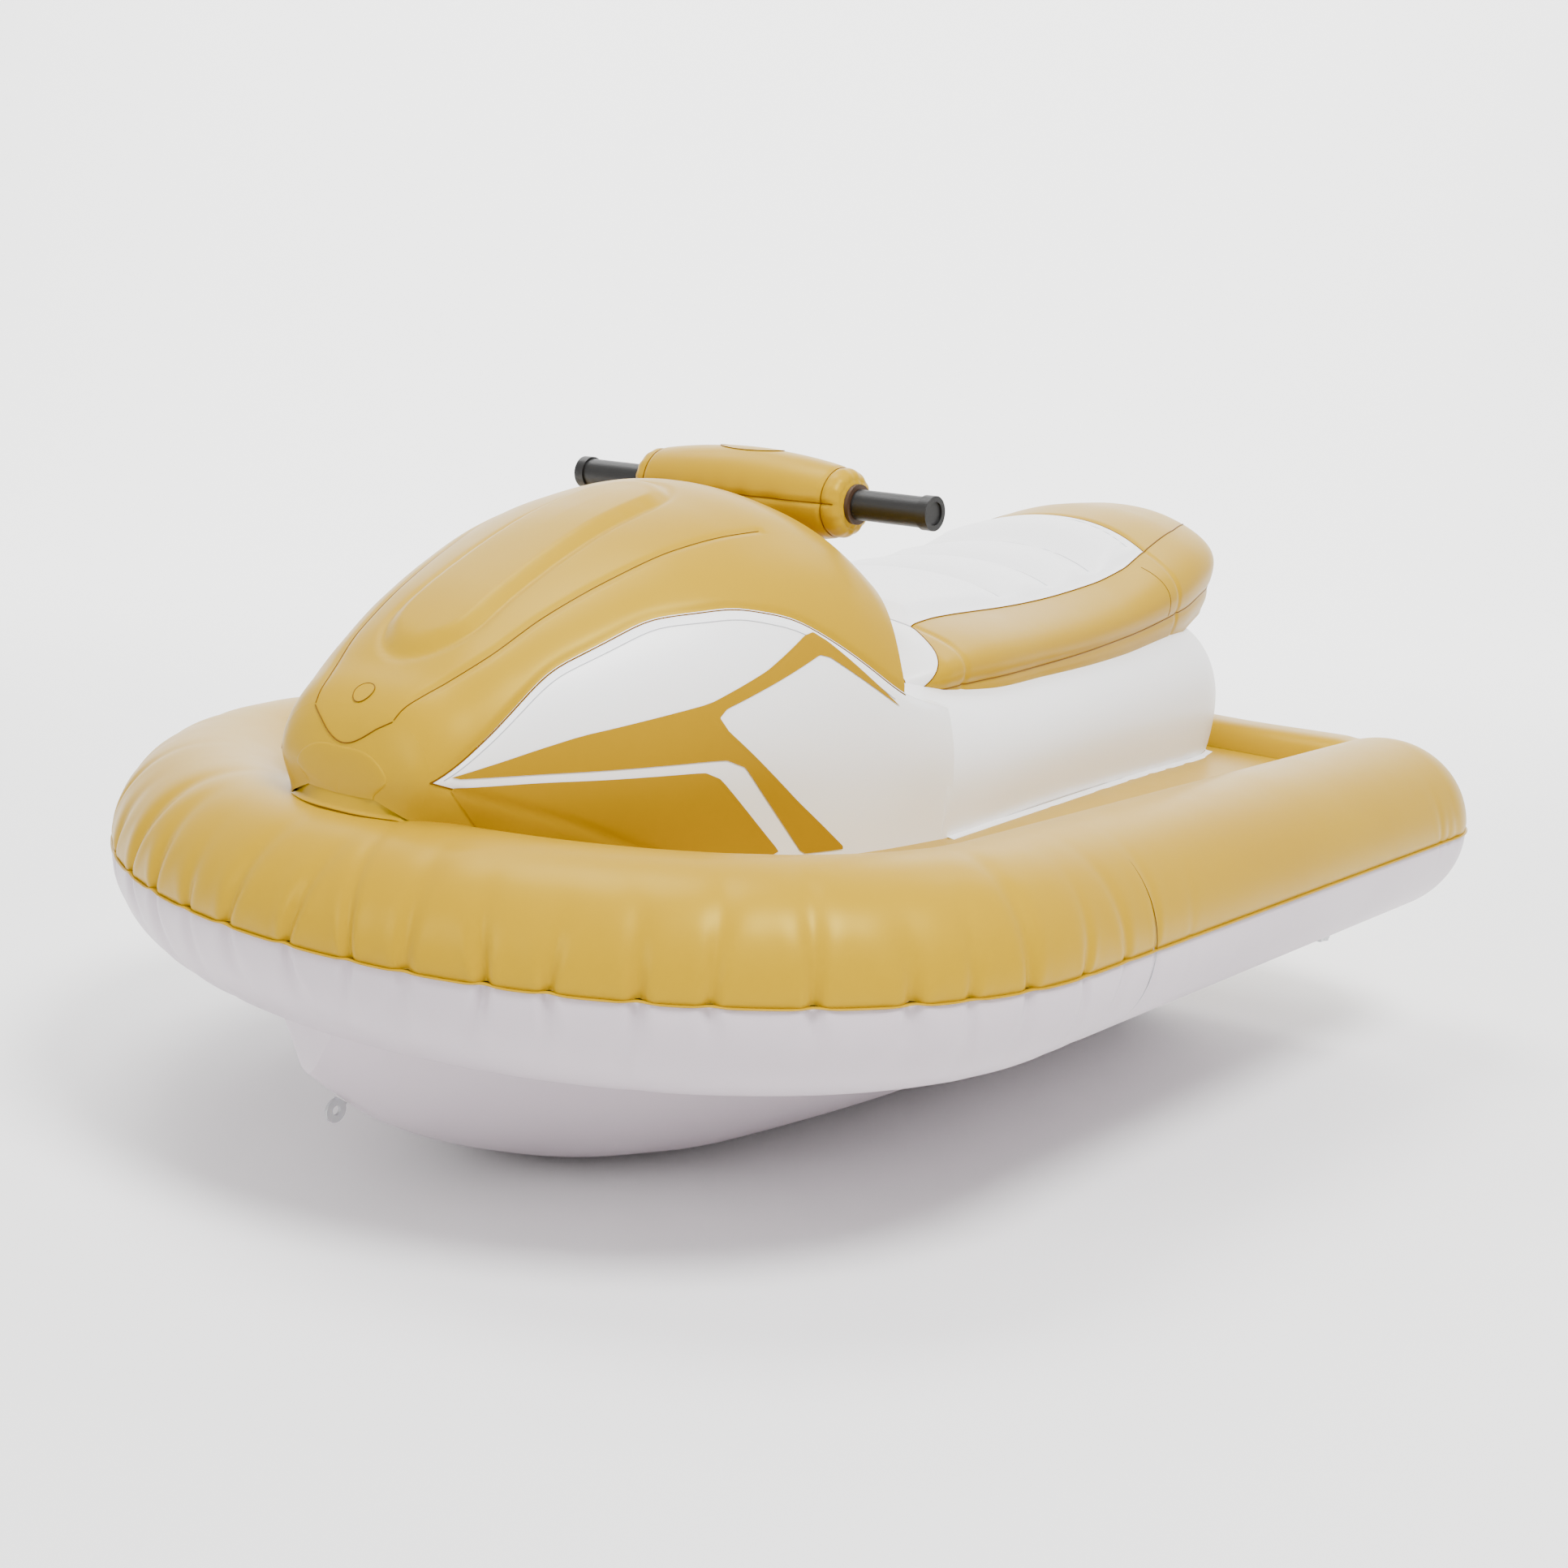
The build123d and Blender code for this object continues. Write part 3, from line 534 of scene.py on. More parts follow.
def rounded_end(loop, direction, bulge, centre):
    """Closes an open end: the section loop shrinks to a point while it swells outwards."""
    middle = np.asarray(centre, float)
    rings = []
    for a in np.linspace(0, math.pi / 2, 15)[1:]:
        ring_points = middle + (loop - middle) * max(math.cos(a), 0.002)
        ring_points[:, 0] = loop[:, 0] + direction * bulge * math.sin(a)
        rings.append(ring_points)
    return np.stack([loop, *rings])


print("look-ups ready")

# %% [markdown]
# The hood is one chamber under several panels: a yellow skirt at the bow, a white side panel whose tip starts
# at the nose, and a yellow hood top. All three lie on the same blown form, so each is cut from it along shared
# lines. A soft relief pinches the film along every weld and lets it swell a little between them.

# %% Hood lines and relief
HOOD_AFT_X, HOOD_NOSE_X = 95, 656
SIDE_AFT_X, SIDE_TIP_X = 168, 641  # the hood top's aft corner, and the side panel's tip at the nose
SKIRT_X = 415  # the bow skirt starts here
EDGE_LINE = np.array([(HOOD_AFT_X, 186), (SIDE_AFT_X, 206), (235, 252), (290, 286), (350, 297), (430, 286),
                      (528, 243), (SIDE_TIP_X, 143)], float)
SKIRT_LINE = np.array([(HOOD_AFT_X, 30), (SKIRT_X, 30), (430, 60), (530, 105), (600, 128), (SIDE_TIP_X, 143)], float)
TOP_LINE = np.array([(255, 150), (441, 112), (566, 88), (643, 52)], float)


def smooth_line(line, x, rounds=420):
    """Height of a corner table at x, with its corners eased."""
    fine = np.arange(line[0, 0], line[-1, 0] + 1, 1.0)
    value = np.interp(fine, line[:, 0], line[:, 1])
    for _ in range(rounds):
        value[1:-1] = (value[:-2] + 2 * value[1:-1] + value[2:]) / 4
    return np.interp(x, fine, value)


def slot_inside(x, y, middle, length, width):
    """Distance inside a round-ended slot lying on the centre line."""
    reach = length / 2 - width / 2
    dx = np.maximum(np.abs(x - middle) - reach, 0)
    return width / 2 - np.hypot(dx, y)


def hood_relief(x, y, z):
    """Welds along the panel lines, a raised slot on top with small gathers, and a slow unevenness."""
    near_tip = smooth_step(-x, -640, -618)
    edge = z - smooth_line(EDGE_LINE, x)
    relief = -2.0 * near_tip * np.exp(-(edge / 5.0) ** 2)
    skirt = z - smooth_line(SKIRT_LINE, x)
    relief -= 1.6 * near_tip * np.exp(-(skirt / 4.0) ** 2)
    top = np.where((x > 255) & (x < 643), np.abs(y) - smooth_line(TOP_LINE, x), 60)
    relief -= 1.8 * near_tip * np.exp(-(top / 4.5) ** 2)
    inside = slot_inside(x, y, 420, 330, 104)
    relief += 6.5 * smooth_step(inside, -5, 15) - 1.6 * np.exp(-((inside + 5) / 4.0) ** 2)
    for k in range(14):
        at = 268 + 25 * k + 4 * math.sin(5 * k)
        relief -= 0.5 * np.exp(-((x - at) / 3.4) ** 2) * np.exp(-((inside - 3) / 9.0) ** 2)
    relief += 0.9 * np.sin(x / 37 + 1.3) * np.sin(z / 29 + y / 51)
    return relief * (1 - (1 - smooth_step(x, 90, 150)) * smooth_step(-z, -215, -190))


print("hood lines drawn")

# %% [markdown]
# Every film panel is made in the same way: pick a patch of a form, push its points out along the form's own
# normals by the relief, and keep the grid. Because the relief depends only on where a point lies, two panels that
# share a line get exactly the same points there and no crack opens between them.


# %% Panels of a form
def blown(table, x, s, side, relief):
    """Points on a section table pushed out by a relief that depends only on where they lie."""
    x, s = np.broadcast_arrays(np.asarray(x, float), np.asarray(s, float))
    here = skin_point(table, x, s)
    back = np.where(s > 0.99, -1, 1)
    du = skin_point(table, x + 1.0, s) - skin_point(table, x - 1.0, s)
    dv = (skin_point(table, x, np.clip(s + 0.004 * back, 0, 1)) - here) * back[..., None]
    normal = np.cross(dv, du)
    normal /= np.linalg.norm(normal, axis=-1)[..., None] + 1e-9
    normal *= np.where(normal[..., 1:2] + normal[..., 2:3] * 0.6 < 0, -1, 1)
    amount = relief(here[..., 0], here[..., 1], here[..., 2] - SEAM_Z)
    points = here + normal * amount[..., None]
    points[..., 1] *= side
    return points, normal * [1, side, 1]


def panel(table, x, low, high, count, relief, side=1):
    ratio = np.linspace(0, 1, count)[None]
    return blown(table, x[:, None], low[:, None] * (1 - ratio) + high[:, None] * ratio, side, relief)


def over_the_top(table, x, low, count, relief):
    """A panel from the port line up over the centre and down to the starboard line."""
    port, _ = panel(table, x, low, np.ones_like(x), count, relief)
    star = port[:, ::-1] * [1, -1, 1]
    return np.concatenate([port, star[:, 1:]], 1)


def outer_strip(table, x, s, side, relief, lift=0.15):
    points, normals = blown(table, x, s, side, relief)
    return points + normals * lift, normals


print("panel helpers ready")

# %% [markdown]
# The hood top is one yellow skin over the whole width. At the sides it starts further forward than on the centre
# line, so its aft edge sweeps back and up towards the pod. The nose is a short run of narrow sections, closed by
# a nearly flat cap.

# %% Hood top and nose
step = 4.5
hood_x = np.linspace(HOOD_AFT_X, SIDE_TIP_X, int((SIDE_TIP_X - HOOD_AFT_X) / step))
s_edge = s_at_height(HOOD, hood_x, smooth_line(EDGE_LINE, hood_x))
s_skirt = np.minimum(s_at_height(HOOD, hood_x, smooth_line(SKIRT_LINE, hood_x)), s_edge)
s_skirt[smooth_line(SKIRT_LINE, hood_x) < row_values(HOOD, hood_x)[:, 0] + 1] = 0
rise = np.linspace(0, 1, 110)[None]
aft_x = SIDE_AFT_X - (SIDE_AFT_X - HOOD_AFT_X) * smooth_step(rise, 0.0, 0.85)
top_x = aft_x + np.linspace(0, 1, len(hood_x))[:, None] * (SIDE_TIP_X - aft_x)
low_s = np.interp(top_x, hood_x, s_edge)
top_grid, _ = blown(HOOD, top_x, low_s * (1 - rise) + rise, 1, hood_relief)
top_grid = np.concatenate([top_grid, top_grid[:, ::-1][:, 1:] * [1, -1, 1]], 1)
nose_x = np.linspace(SIDE_TIP_X, HOOD_NOSE_X, 8)
nose_grid = over_the_top(HOOD, nose_x, np.zeros(8), 70, hood_relief)
NOSE_BULGE = 3.5
nose_cap = rounded_end(nose_grid[-1], 1, NOSE_BULGE, (HOOD_NOSE_X, 0, SEAM_Z + 119))
hood_top = Patchwork().grid(top_grid, flip=True).grid(nose_grid, flip=True).grid(nose_cap, flip=True)
print("hood top", top_grid.shape, "nose", nose_grid.shape)

# %% [markdown]
# Under the pod the hood ends in a dash that faces the rider. It is a fan from the aft edge to a point low on the
# centre line. A crowned white shelf bridges the side panels in front of the seat.

# %% Dash and shelf
dash_centre = np.array([122.0, 0, SEAM_Z + 200])
DASH_DEPTH = 16
dash = np.stack([dash_centre + (top_grid[0] - dash_centre) * max(math.cos(a), 0.002)
                 - [DASH_DEPTH * math.sin(a), 0, 0] for a in np.linspace(0, math.pi / 2, 15)])
hood_top.grid(dash)
SHELF_CROWN = 9
shelf_x = np.linspace(88, 205, 16)
shelf_s = s_at_height(HOOD, shelf_x, smooth_line(EDGE_LINE, shelf_x))
shelf_edge, _ = blown(HOOD, shelf_x, shelf_s, 1, hood_relief)
across = np.linspace(1, -1, 40)
shelf = np.stack([np.broadcast_to(shelf_x[:, None], (16, 40)), shelf_edge[:, 1:2] * across,
                  shelf_edge[:, 2:3] + SHELF_CROWN * np.sqrt(1.0001 - across ** 2)], -1)
print("dash", dash.shape, "shelf", shelf.shape)

# %% [markdown]
# Round the bow the hood's foot is welded to the tube's crest with a narrow flat lip. Its line is the foot of the
# sections, eased a little, and a small profile with a lip and a skirt down to the tube is swept along it.

# %% Hood foot
NOSE_HALF = 44
LIP_TOP_Z = SEAM_Z + 109
foot_x = np.concatenate([np.linspace(480, 655, 70), np.full(24, float(HOOD_NOSE_X))])
foot_y = np.concatenate([section(HOOD, foot_x[:70], np.zeros(70))[:, 0], np.linspace(NOSE_HALF, 0, 25)[1:]])
foot_z = SEAM_Z + section(HOOD, foot_x, np.zeros(94))[:, 1]
foot_x[70:] += NOSE_BULGE * np.sqrt(np.clip(1 - (foot_y[70:] / NOSE_HALF) ** 2, 0, 1))
foot = np.stack([foot_x, foot_y, foot_z], 1)
foot = np.concatenate([foot, foot[::-1][1:] * [1, -1, 1]])
for _ in range(60):
    foot[1:-1] = (foot[:-2] + 2 * foot[1:-1] + foot[2:]) / 4
outward = np.gradient(foot, axis=0)
outward = np.stack([outward[:, 1], -outward[:, 0], 0 * outward[:, 0]], 1)
outward /= -np.linalg.norm(outward, axis=1)[:, None]
rim_foot = np.minimum(foot, [1e4, 1e4, LIP_TOP_Z])
lip = ((0.8, -0.5), (6.5, -2.4), (7.5, -3.0), (7.5, -4.0), (0.8, -4.2), (-1, -30))
foot_grid = np.stack([foot - outward + [0, 0, 7]]
                     + [rim_foot + outward * out + [0, 0, lift] for out, lift in lip], 1)
hood_top.grid(foot_grid, flip=True).build("hood_top_skin", YELLOW, nodes=("hood_cover", "hood_ridge"))
print("hood foot", foot_grid.shape)

# %% [markdown]
# The white side panels fill the form between the edge line and the skirt line, which meet in a point at the
# nose. The shelf and a wall behind the chamber belong to the same white film. The yellow skirt below
# them is cut from the same form.

# %% Side panels and skirt
sides, skirts = Patchwork(), Patchwork()
on_skirt = hood_x > SKIRT_X
for side in (1, -1):
    grid, _ = panel(HOOD, hood_x, s_skirt, s_edge, 60, hood_relief, side)
    sides.grid(grid, flip=side > 0)
    grid, _ = panel(HOOD, hood_x[on_skirt], 0 * s_skirt[on_skirt], s_skirt[on_skirt], 16, hood_relief, side)
    skirts.grid(grid, flip=side > 0)
wall_side, _ = panel(HOOD, hood_x[:1], s_skirt[:1], s_edge[:1], 60, hood_relief)
wall = np.concatenate([wall_side[0], shelf[1], wall_side[0][::-1] * [1, -1, 1]])
sides.grid(rounded_end(wall, -1, 2.0, (HOOD_AFT_X, 0, SEAM_Z + DECK_Z)))
sides.grid(shelf, flip=True).build("front_side_panels", WHITE, slot_name="white_vinyl", nodes=("front_side_skin",))
skirts.build("bow_skirt", YELLOW)
print("side panels and skirt made")

# %% [markdown]
# Welds follow every panel line: dark lines where yellow film is joined, a paler stitch just inside the edge of
# the white panel, and one long line each side of the raised slot on top.

# %% Hood weld lines
seam_x = np.linspace(256, 642, 120)
s_seam = s_at_width(HOOD, seam_x, smooth_line(TOP_LINE, seam_x))
on_edge = hood_x > 166
on_inset = (hood_x > 185) & (s_edge - s_skirt > 0.05)
s_inset = np.clip(s_edge - 0.03, s_skirt, 1)
for side, where in SIDES:
    points, normals = outer_strip(HOOD, hood_x[on_edge], s_edge[on_edge] - 0.004, side, hood_relief)
    bead("side_panel_line_" + where, points, normals, LINE, width=1.6, height=0.7)
    points, normals = outer_strip(HOOD, hood_x[on_inset], s_inset[on_inset], side, hood_relief)
    bead("side_panel_stitch_" + where, points, normals, WHITE_LINE, width=1.0, height=0.4, slot_name="white_vinyl")
    points, normals = outer_strip(HOOD, hood_x[on_skirt], s_skirt[on_skirt], side, hood_relief)
    bead("skirt_weld_" + where, points, normals, LINE, width=1.5, height=0.7)
    points, normals = outer_strip(HOOD, seam_x, s_seam, side, hood_relief)
    bead("hood_stitch_" + where, points, normals, LINE, width=1.4, height=0.5)
print("hood welds made")

# %% [markdown]
# The side decals are flat film welded on the chamber: a yellow arrow shape with a long arm above and a darker
# triangle below it. A fill of small triangles is laid over the outline and each point is dropped on the blown
# skin, so that the print follows the curve and has no thickness to speak of.


# %% Decals
def fill_outline(outline, spacing):
    """Even triangles inside a closed outline given as (x, height) corners."""
    outline = np.array(outline, float)
    edge = []
    for a, b in zip(outline, np.roll(outline, -1, 0)):
        count = max(2, int(np.linalg.norm(b - a) / spacing))
        edge += [a + (b - a) * k / count for k in range(count)]
    low, high = outline.min(0), outline.max(0)
    inner = []
    for i, px in enumerate(np.arange(low[0], high[0], spacing)):
        for pz in np.arange(low[1] + (i % 2) * spacing / 2, high[1], spacing):
            inner.append((px, pz))
    count = len(edge)
    points = [Vector(p) for p in edge] + [Vector(p) for p in inner]
    flat, _, faces, *_ = delaunay_2d_cdt(points, [], [list(range(count))], 1, 1e-4)
    return np.array([tuple(v) for v in flat]), faces


def eased(outline, rounds=2):
    """Cuts the corners of an outline so that they read as die-cut film."""
    points = np.array(outline, float)
    for _ in range(rounds):
        after = np.roll(points, -1, 0)
        near, far = points * 0.94 + after * 0.06, points * 0.06 + after * 0.94
        points = np.stack([near, far], 1).reshape(-1, 2)
    return points


def lay_on_side(table, flat, side, relief, lift):
    s = s_at_height(table, flat[:, 0], flat[:, 1])
    points, normals = blown(table, flat[:, 0], s, side, relief)
    return points + normals * lift


ARM = [(634, 146), (520, 184), (404, 210), (340, 238), (288, 268), (276, 271), (262, 262), (178, 194), (225, 223),
       (264, 247), (276, 250), (330, 228), (388, 205), (396, 197), (388, 184), (310, 112), (247, 60), (300, 60),
       (350, 122), (372, 150), (392, 158)]
TRIANGLE = [(628, 138), (560, 142), (412, 147), (396, 140), (322, 60), (560, 60), (600, 100)]
for side, where in SIDES:
    for outline, level, lift in ((ARM, "upper", 0.9), (TRIANGLE, "lower", 0.75)):
        flat, faces = fill_outline(eased(outline), 5)
        base = row_values(HOOD, flat[:, 0])[:, 0]
        flat[:, 1] = np.maximum(flat[:, 1], base + 1)
        points = lay_on_side(HOOD, flat, side, hood_relief, lift)
        faces = [f if side < 0 else f[::-1] for f in faces]
        make_object("decal_" + level + "_print_" + where, points, faces, PRINT, slot_name="yellow_print",
                    nodes=("decal_" + level + "_" + where,))
print("decals laid")

# %% [markdown]
# On the nose a weld runs across the hood, and just behind it sits a small blank round patch. Both are drawn in
# plan and lifted onto the blown skin, point by point.


# %% Nose weld and patch
def on_hood_top(x, y):
    """The blown hood point over a place in plan, and its normal."""
    s = s_at_width(HOOD, np.array([x]), np.array([abs(y)]))
    point, normal = blown(HOOD, np.array([x]), s, 1 if y >= 0 else -1, hood_relief)
    return point[0], normal[0]


CROSS_HALF, PATCH_X, PATCH_R = 52, 631, 11.3
cross = [on_hood_top(643 + 12 * (1 - (y / CROSS_HALF) ** 2), y) for y in np.linspace(CROSS_HALF, -CROSS_HALF, 60)]
bead("hood_stitch_nose", [point + normal * 0.3 for point, normal in cross], [normal for _, normal in cross], LINE,
     width=1.4, height=0.5)
turn = np.linspace(0, 2 * math.pi, 41)[:-1]
ring = [on_hood_top(PATCH_X + PATCH_R * 0.7 * math.cos(a), PATCH_R * math.sin(a)) for a in turn]
ring_points = [point + normal * 0.6 for point, normal in ring]
ring_normals = [normal for _, normal in ring]
bead("nose_patch_edge", ring_points, ring_normals, LINE, width=1.1, height=0.4, closed=True)
middle = np.mean(ring_points, 0) + np.mean(ring_normals, 0) * 0.3
make_object("nose_patch_film", [middle, *ring_points], [(0, k + 1, (k + 1) % 40 + 1) for k in range(40)], YELLOW,
            nodes=("nose_patch",))
print("nose patch made")

# %% [markdown]
# The rear body is a plain white chamber with a flared weld flange where it meets the deck. It is held tight by
# air, so it gets only a slight swell and fine radial gathers along the flange.


# %% Rear body
def body_relief(x, y, z):
    """A slight swell, pinched and gathered towards the flange."""
    relief = 2.2 * np.sin(np.clip((z - DECK_Z) / 140, 0, 1) * math.pi)
    relief -= 3.0 * np.exp(-(z - DECK_Z) / 7.0)
    gather = np.sin(x / 8.5 + 2 * np.sin(x / 61)) * (0.5 + 0.5 * np.sin(x / 97))
    relief += 0.5 * gather * np.exp(-(z - DECK_Z) / 16.0)
    relief = relief + 0.8 * np.sin(x / 83 + 0.7) * np.sin(z / 40)
    return relief * smooth_step(-x, -95, 60)


BODY_REAR_X = -648
body_x = np.linspace(104, BODY_REAR_X, 260)
body_grid = over_the_top(BODY, body_x, 0 * body_x, 44, body_relief)
body_end = rounded_end(body_grid[-1], -1, 0.8, (BODY_REAR_X, 0, SEAM_Z + DECK_Z))
body_front = rounded_end(body_grid[0], 1, 6, (HOOD_AFT_X, 0, SEAM_Z + DECK_Z))
Patchwork().grid(body_grid).grid(body_end).grid(body_front, flip=True).build(
    "rear_body_cover", WHITE, slot_name="white_vinyl", nodes=("rear_body_skin",))
print("rear body", body_grid.shape)

# %% [markdown]
# The flange is the flat rim where the body is welded to the deck. It is a thin lip on both sides and across the
# tail, with a slight ripple, because its outer edge is free.

# %% Body flange
flange_x = np.linspace(HOOD_AFT_X, -620, 240)
base = row_values(BODY, flange_x)
flange = Patchwork()
for side in (1, -1):
    ripple = 0.35 * np.sin(flange_x / 12 + 3 * np.sin(flange_x / 70))
    profile = [(base[:, 2] - 2, 53.8), (base[:, 2] + 4, 53.4), (base[:, 2] + 8.8, 53.0), (base[:, 2] + 8.8, 52.2)]
    grid = np.stack([np.stack([flange_x, side * y, SEAM_Z + z + ripple * (y - base[:, 2] + 2) / 10], -1)
                     for y, z in profile], 1)
    flange.grid(grid, flip=side < 0)
tail = np.stack([np.stack([np.full(40, x), np.linspace(-208, 208, 40) * k, np.full(40, SEAM_Z + z)], -1)
                 for x, k, z in ((-619, 1.0, 53.8), (-630, 0.96, 53.4), (-638, 0.9, 53.0), (-638, 0.9, 52.2))], 1)
flange.grid(tail).build("body_weld_flange", WHITE, slot_name="white_vinyl", nodes=("body_flange",))
print("flange made")

# %% [markdown]
# The seat is one blown cushion cut from four panels: yellow sides that run up into a raised rear, a white quilted
# top with four curved channels, a white front panel, and a yellow gusset that closes it towards the hood.
# The channels are welds through to a baffle inside, so the film stands up in soft rolls between them and
# the crease fades out before it reaches the edge.

# %% Seat lines and relief
SEAT_FRONT_X, SEAT_REAR_X = 74, -742
QUILT_FRONT_X = -8
QUILT_HALF = np.array([(-760, 60), (-700, 100), (-640, 118), (-548, 134), (-480, 144), (-160, 150), (-60, 152),
                       (74, 160)], float)
CHANNELS = (-218.0, -323.0, -418.0, -516.0)


def quilt_rear(w):
    """Where the quilt ends, with w from -1 to 1 across it: a shallow bow."""
    return -540 - 16 * (1 - w * w)


def pipe_height(x):
    """Height of the piping low on the seat's side."""
    v = row_values(SEAT, x)
    return v[..., 0] + (v[..., 1] - v[..., 0]) * 0.26


def seat_relief(x, y, z):
    edge = smooth_line(QUILT_HALF, x, 60)
    w = np.clip(np.abs(y) / edge, 0, 1)
    top = smooth_step(z - row_values(SEAT, x)[..., 3], 0, 30)
    rear = quilt_rear(w)
    on_quilt = smooth_step(x, rear - 2, rear + 22) * smooth_step(-x, 8, 30)
    border = (1 - w) * edge
    puff = 11.0 * smooth_step(border, -1, 30)
    bowed = x + 28 * (1 - w * w)
    crease = np.zeros_like(x)
    for at in CHANNELS:
        crease = np.maximum(crease, np.exp(-(np.abs(bowed - at) / 21.0) ** 0.95))
    fade = smooth_step(1 - w, 0.06, 0.16)
    relief = on_quilt * puff * (1 - 0.95 * crease * fade) * top
    relief -= 1.8 * np.exp(-((x - rear) / 4.0) ** 2) * top
    relief -= 1.6 * np.exp(-((x - QUILT_FRONT_X) / 4.0) ** 2)
    low = z - pipe_height(x)
    relief -= 1.8 * np.exp(-(low / 4.5) ** 2)
    relief += 3.2 * np.exp(-((low + 16) / 14.0) ** 2)
    relief += 0.8 * np.sin(x / 61 + 0.4) * np.sin(z / 23)
    return relief


print(len(CHANNELS), "channels")

# %% [markdown]
# The top of the seat is laid out in two directions: along the seat and, with w from -1 to 1, across the quilt.
# White front, white quilt and yellow rear are three runs of the same layout, so they meet in shared lines.

# %% Seat top
n_long, n_across = ((300, 120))
table_x = np.linspace(SEAT_FRONT_X, SEAT_REAR_X, 220)
table_s = s_at_width(SEAT, table_x, smooth_line(QUILT_HALF, table_x, 60))
w = np.linspace(-1, 1, n_across)


def top_s(x):
    """Where round the section the quilt begins."""
    return np.interp(-np.asarray(x), -table_x, table_s)


def seat_top(x):
    """Points across the top of the seat for a grid of x, one column per w."""
    points, _ = blown(SEAT, x, 1 - np.abs(w)[None] * (1 - top_s(x)), 1, seat_relief)
    return points * np.where(w < 0, -1, 1)[None, :, None] ** np.array([0, 1, 0])


along = np.linspace(0, 1, n_long)[:, None]
quilt_x = QUILT_FRONT_X + along * (quilt_rear(w)[None] - QUILT_FRONT_X)
rear_x = quilt_rear(w)[None] + np.linspace(0, 1, 60)[:, None] * (SEAT_REAR_X - quilt_rear(w)[None])
front_x = np.linspace(SEAT_FRONT_X, QUILT_FRONT_X, 26)[:, None] + 0 * w[None]
quilt = Patchwork().grid(seat_top(quilt_x), flip=True).build("seat_quilt", WHITE, slot_name="white_vinyl",
                                                             nodes=("seat_quilt_top",))
print("quilt", quilt_x.shape)

# %% [markdown]
# The yellow side cover starts on a slant behind the white front panel and runs to the rear. With a rounded tail, a
# gusset towards the hood and a plain floor it closes the cushion, so that nobody can look into it from below.

# %% Seat covers
r = np.linspace(0, 1, 40)
slant_x = SEAT_FRONT_X - (SEAT_FRONT_X - QUILT_FRONT_X) * r
yellow, white = Patchwork(), Patchwork()
for side in (1, -1):
    x = slant_x[None] + along * (SEAT_REAR_X - slant_x[None])
    grid, _ = blown(SEAT, x, r[None] * top_s(x), side, seat_relief)
    yellow.grid(grid, flip=side < 0)
    x = SEAT_FRONT_X + np.linspace(0, 1, 26)[:, None] * (slant_x[None] - SEAT_FRONT_X)
    grid, _ = blown(SEAT, x, r[None] * top_s(x), side, seat_relief)
    white.grid(grid, flip=side < 0)
yellow.grid(seat_top(rear_x), flip=True)


def seat_loop(x):
    """The whole section at x, up the port side and down the starboard side."""
    loop, _ = blown(SEAT, np.full(119, x), np.concatenate([np.linspace(0, 1, 60), np.linspace(1, 0, 60)[1:]]), 1,
                    seat_relief)
    loop[60:, 1] *= -1
    return loop


nose = seat_loop(float(SEAT_FRONT_X))
yellow.grid(rounded_end(seat_loop(float(SEAT_REAR_X)), -1, 8, (SEAT_REAR_X, 0, SEAM_Z + 259)))
yellow.grid(rounded_end(nose, 1, 46, (SEAT_FRONT_X, 0, SEAM_Z + 177)), flip=True)
floor_x = np.linspace(SEAT_FRONT_X, SEAT_REAR_X, 80)
floor_middle = np.stack([floor_x, 0 * floor_x, SEAM_Z + row_values(SEAT, floor_x)[:, 0]], -1)
for side in (1, -1):
    edge, _ = blown(SEAT, floor_x, 0 * floor_x, side, seat_relief)
    yellow.grid(np.stack([edge, floor_middle], 1), flip=side > 0)
yellow.build("seat_side_cover", YELLOW, nodes=("seat_side_skin",))
front = white.grid(seat_top(front_x), flip=True).build("seat_front_cover", WHITE, slot_name="white_vinyl",
                                                      nodes=("seat_front_panel",))
print("seat covers made")

# %% [markdown]
# Piping runs round the quilt's edge and again low on each side. A short seam crosses each side panel, a stitch
# marks the slanted front, and the quilt is closed by one seam at each end.

# %% Seat piping
for side, where in SIDES:
    x = np.linspace(QUILT_FRONT_X, -738, 200)
    points, normals = outer_strip(SEAT, x, top_s(x), side, seat_relief, 0.3)
    bead("seat_top_piping_" + where, points, normals, LINE, width=1.8, height=0.8)
    x = np.linspace(66, -700, 200)
    points, normals = outer_strip(SEAT, x, s_at_height(SEAT, x, pipe_height(x)), side, seat_relief, 0.2)
    bead("seat_low_piping_" + where, points, normals, LINE, width=1.5, height=0.7)
    rows = np.linspace(0, 1, 60)
    x = SEAT_FRONT_X - (SEAT_FRONT_X - QUILT_FRONT_X) * rows
    points, normals = outer_strip(SEAT, x, rows * top_s(x), side, seat_relief, 0.2)
    bead("seat_front_stitch_" + where, points, normals, LINE, width=1.4, height=0.6)
    rows = np.linspace(0.3, 0.9, 40)
    x = -500 + 10 * (rows - 0.6) - 12 * np.sin(rows * 3)
    points, normals = outer_strip(SEAT, x, rows * top_s(x), side, seat_relief, 0.1)
    bead("seat_side_seam_" + where, points, normals, LINE, width=1.2, height=0.4)
for x_line, name, line in ((np.full_like(w, float(QUILT_FRONT_X)), "seat_front_seam", WHITE_LINE),
                           (quilt_rear(w), "seat_rear_seam", LINE)):
    points = seat_top(x_line[None])[0]
    ahead = seat_top(x_line[None] + 2)[0]
    normals = np.cross(np.gradient(points, axis=0), ahead - points)
    normals /= np.linalg.norm(normals, axis=1)[:, None]
    normals *= np.sign(normals[:, 2:3] + 1e-6)
    bead(name, points + normals * 0.3, normals, line, width=1.5, height=0.7)
print("seat piping made")
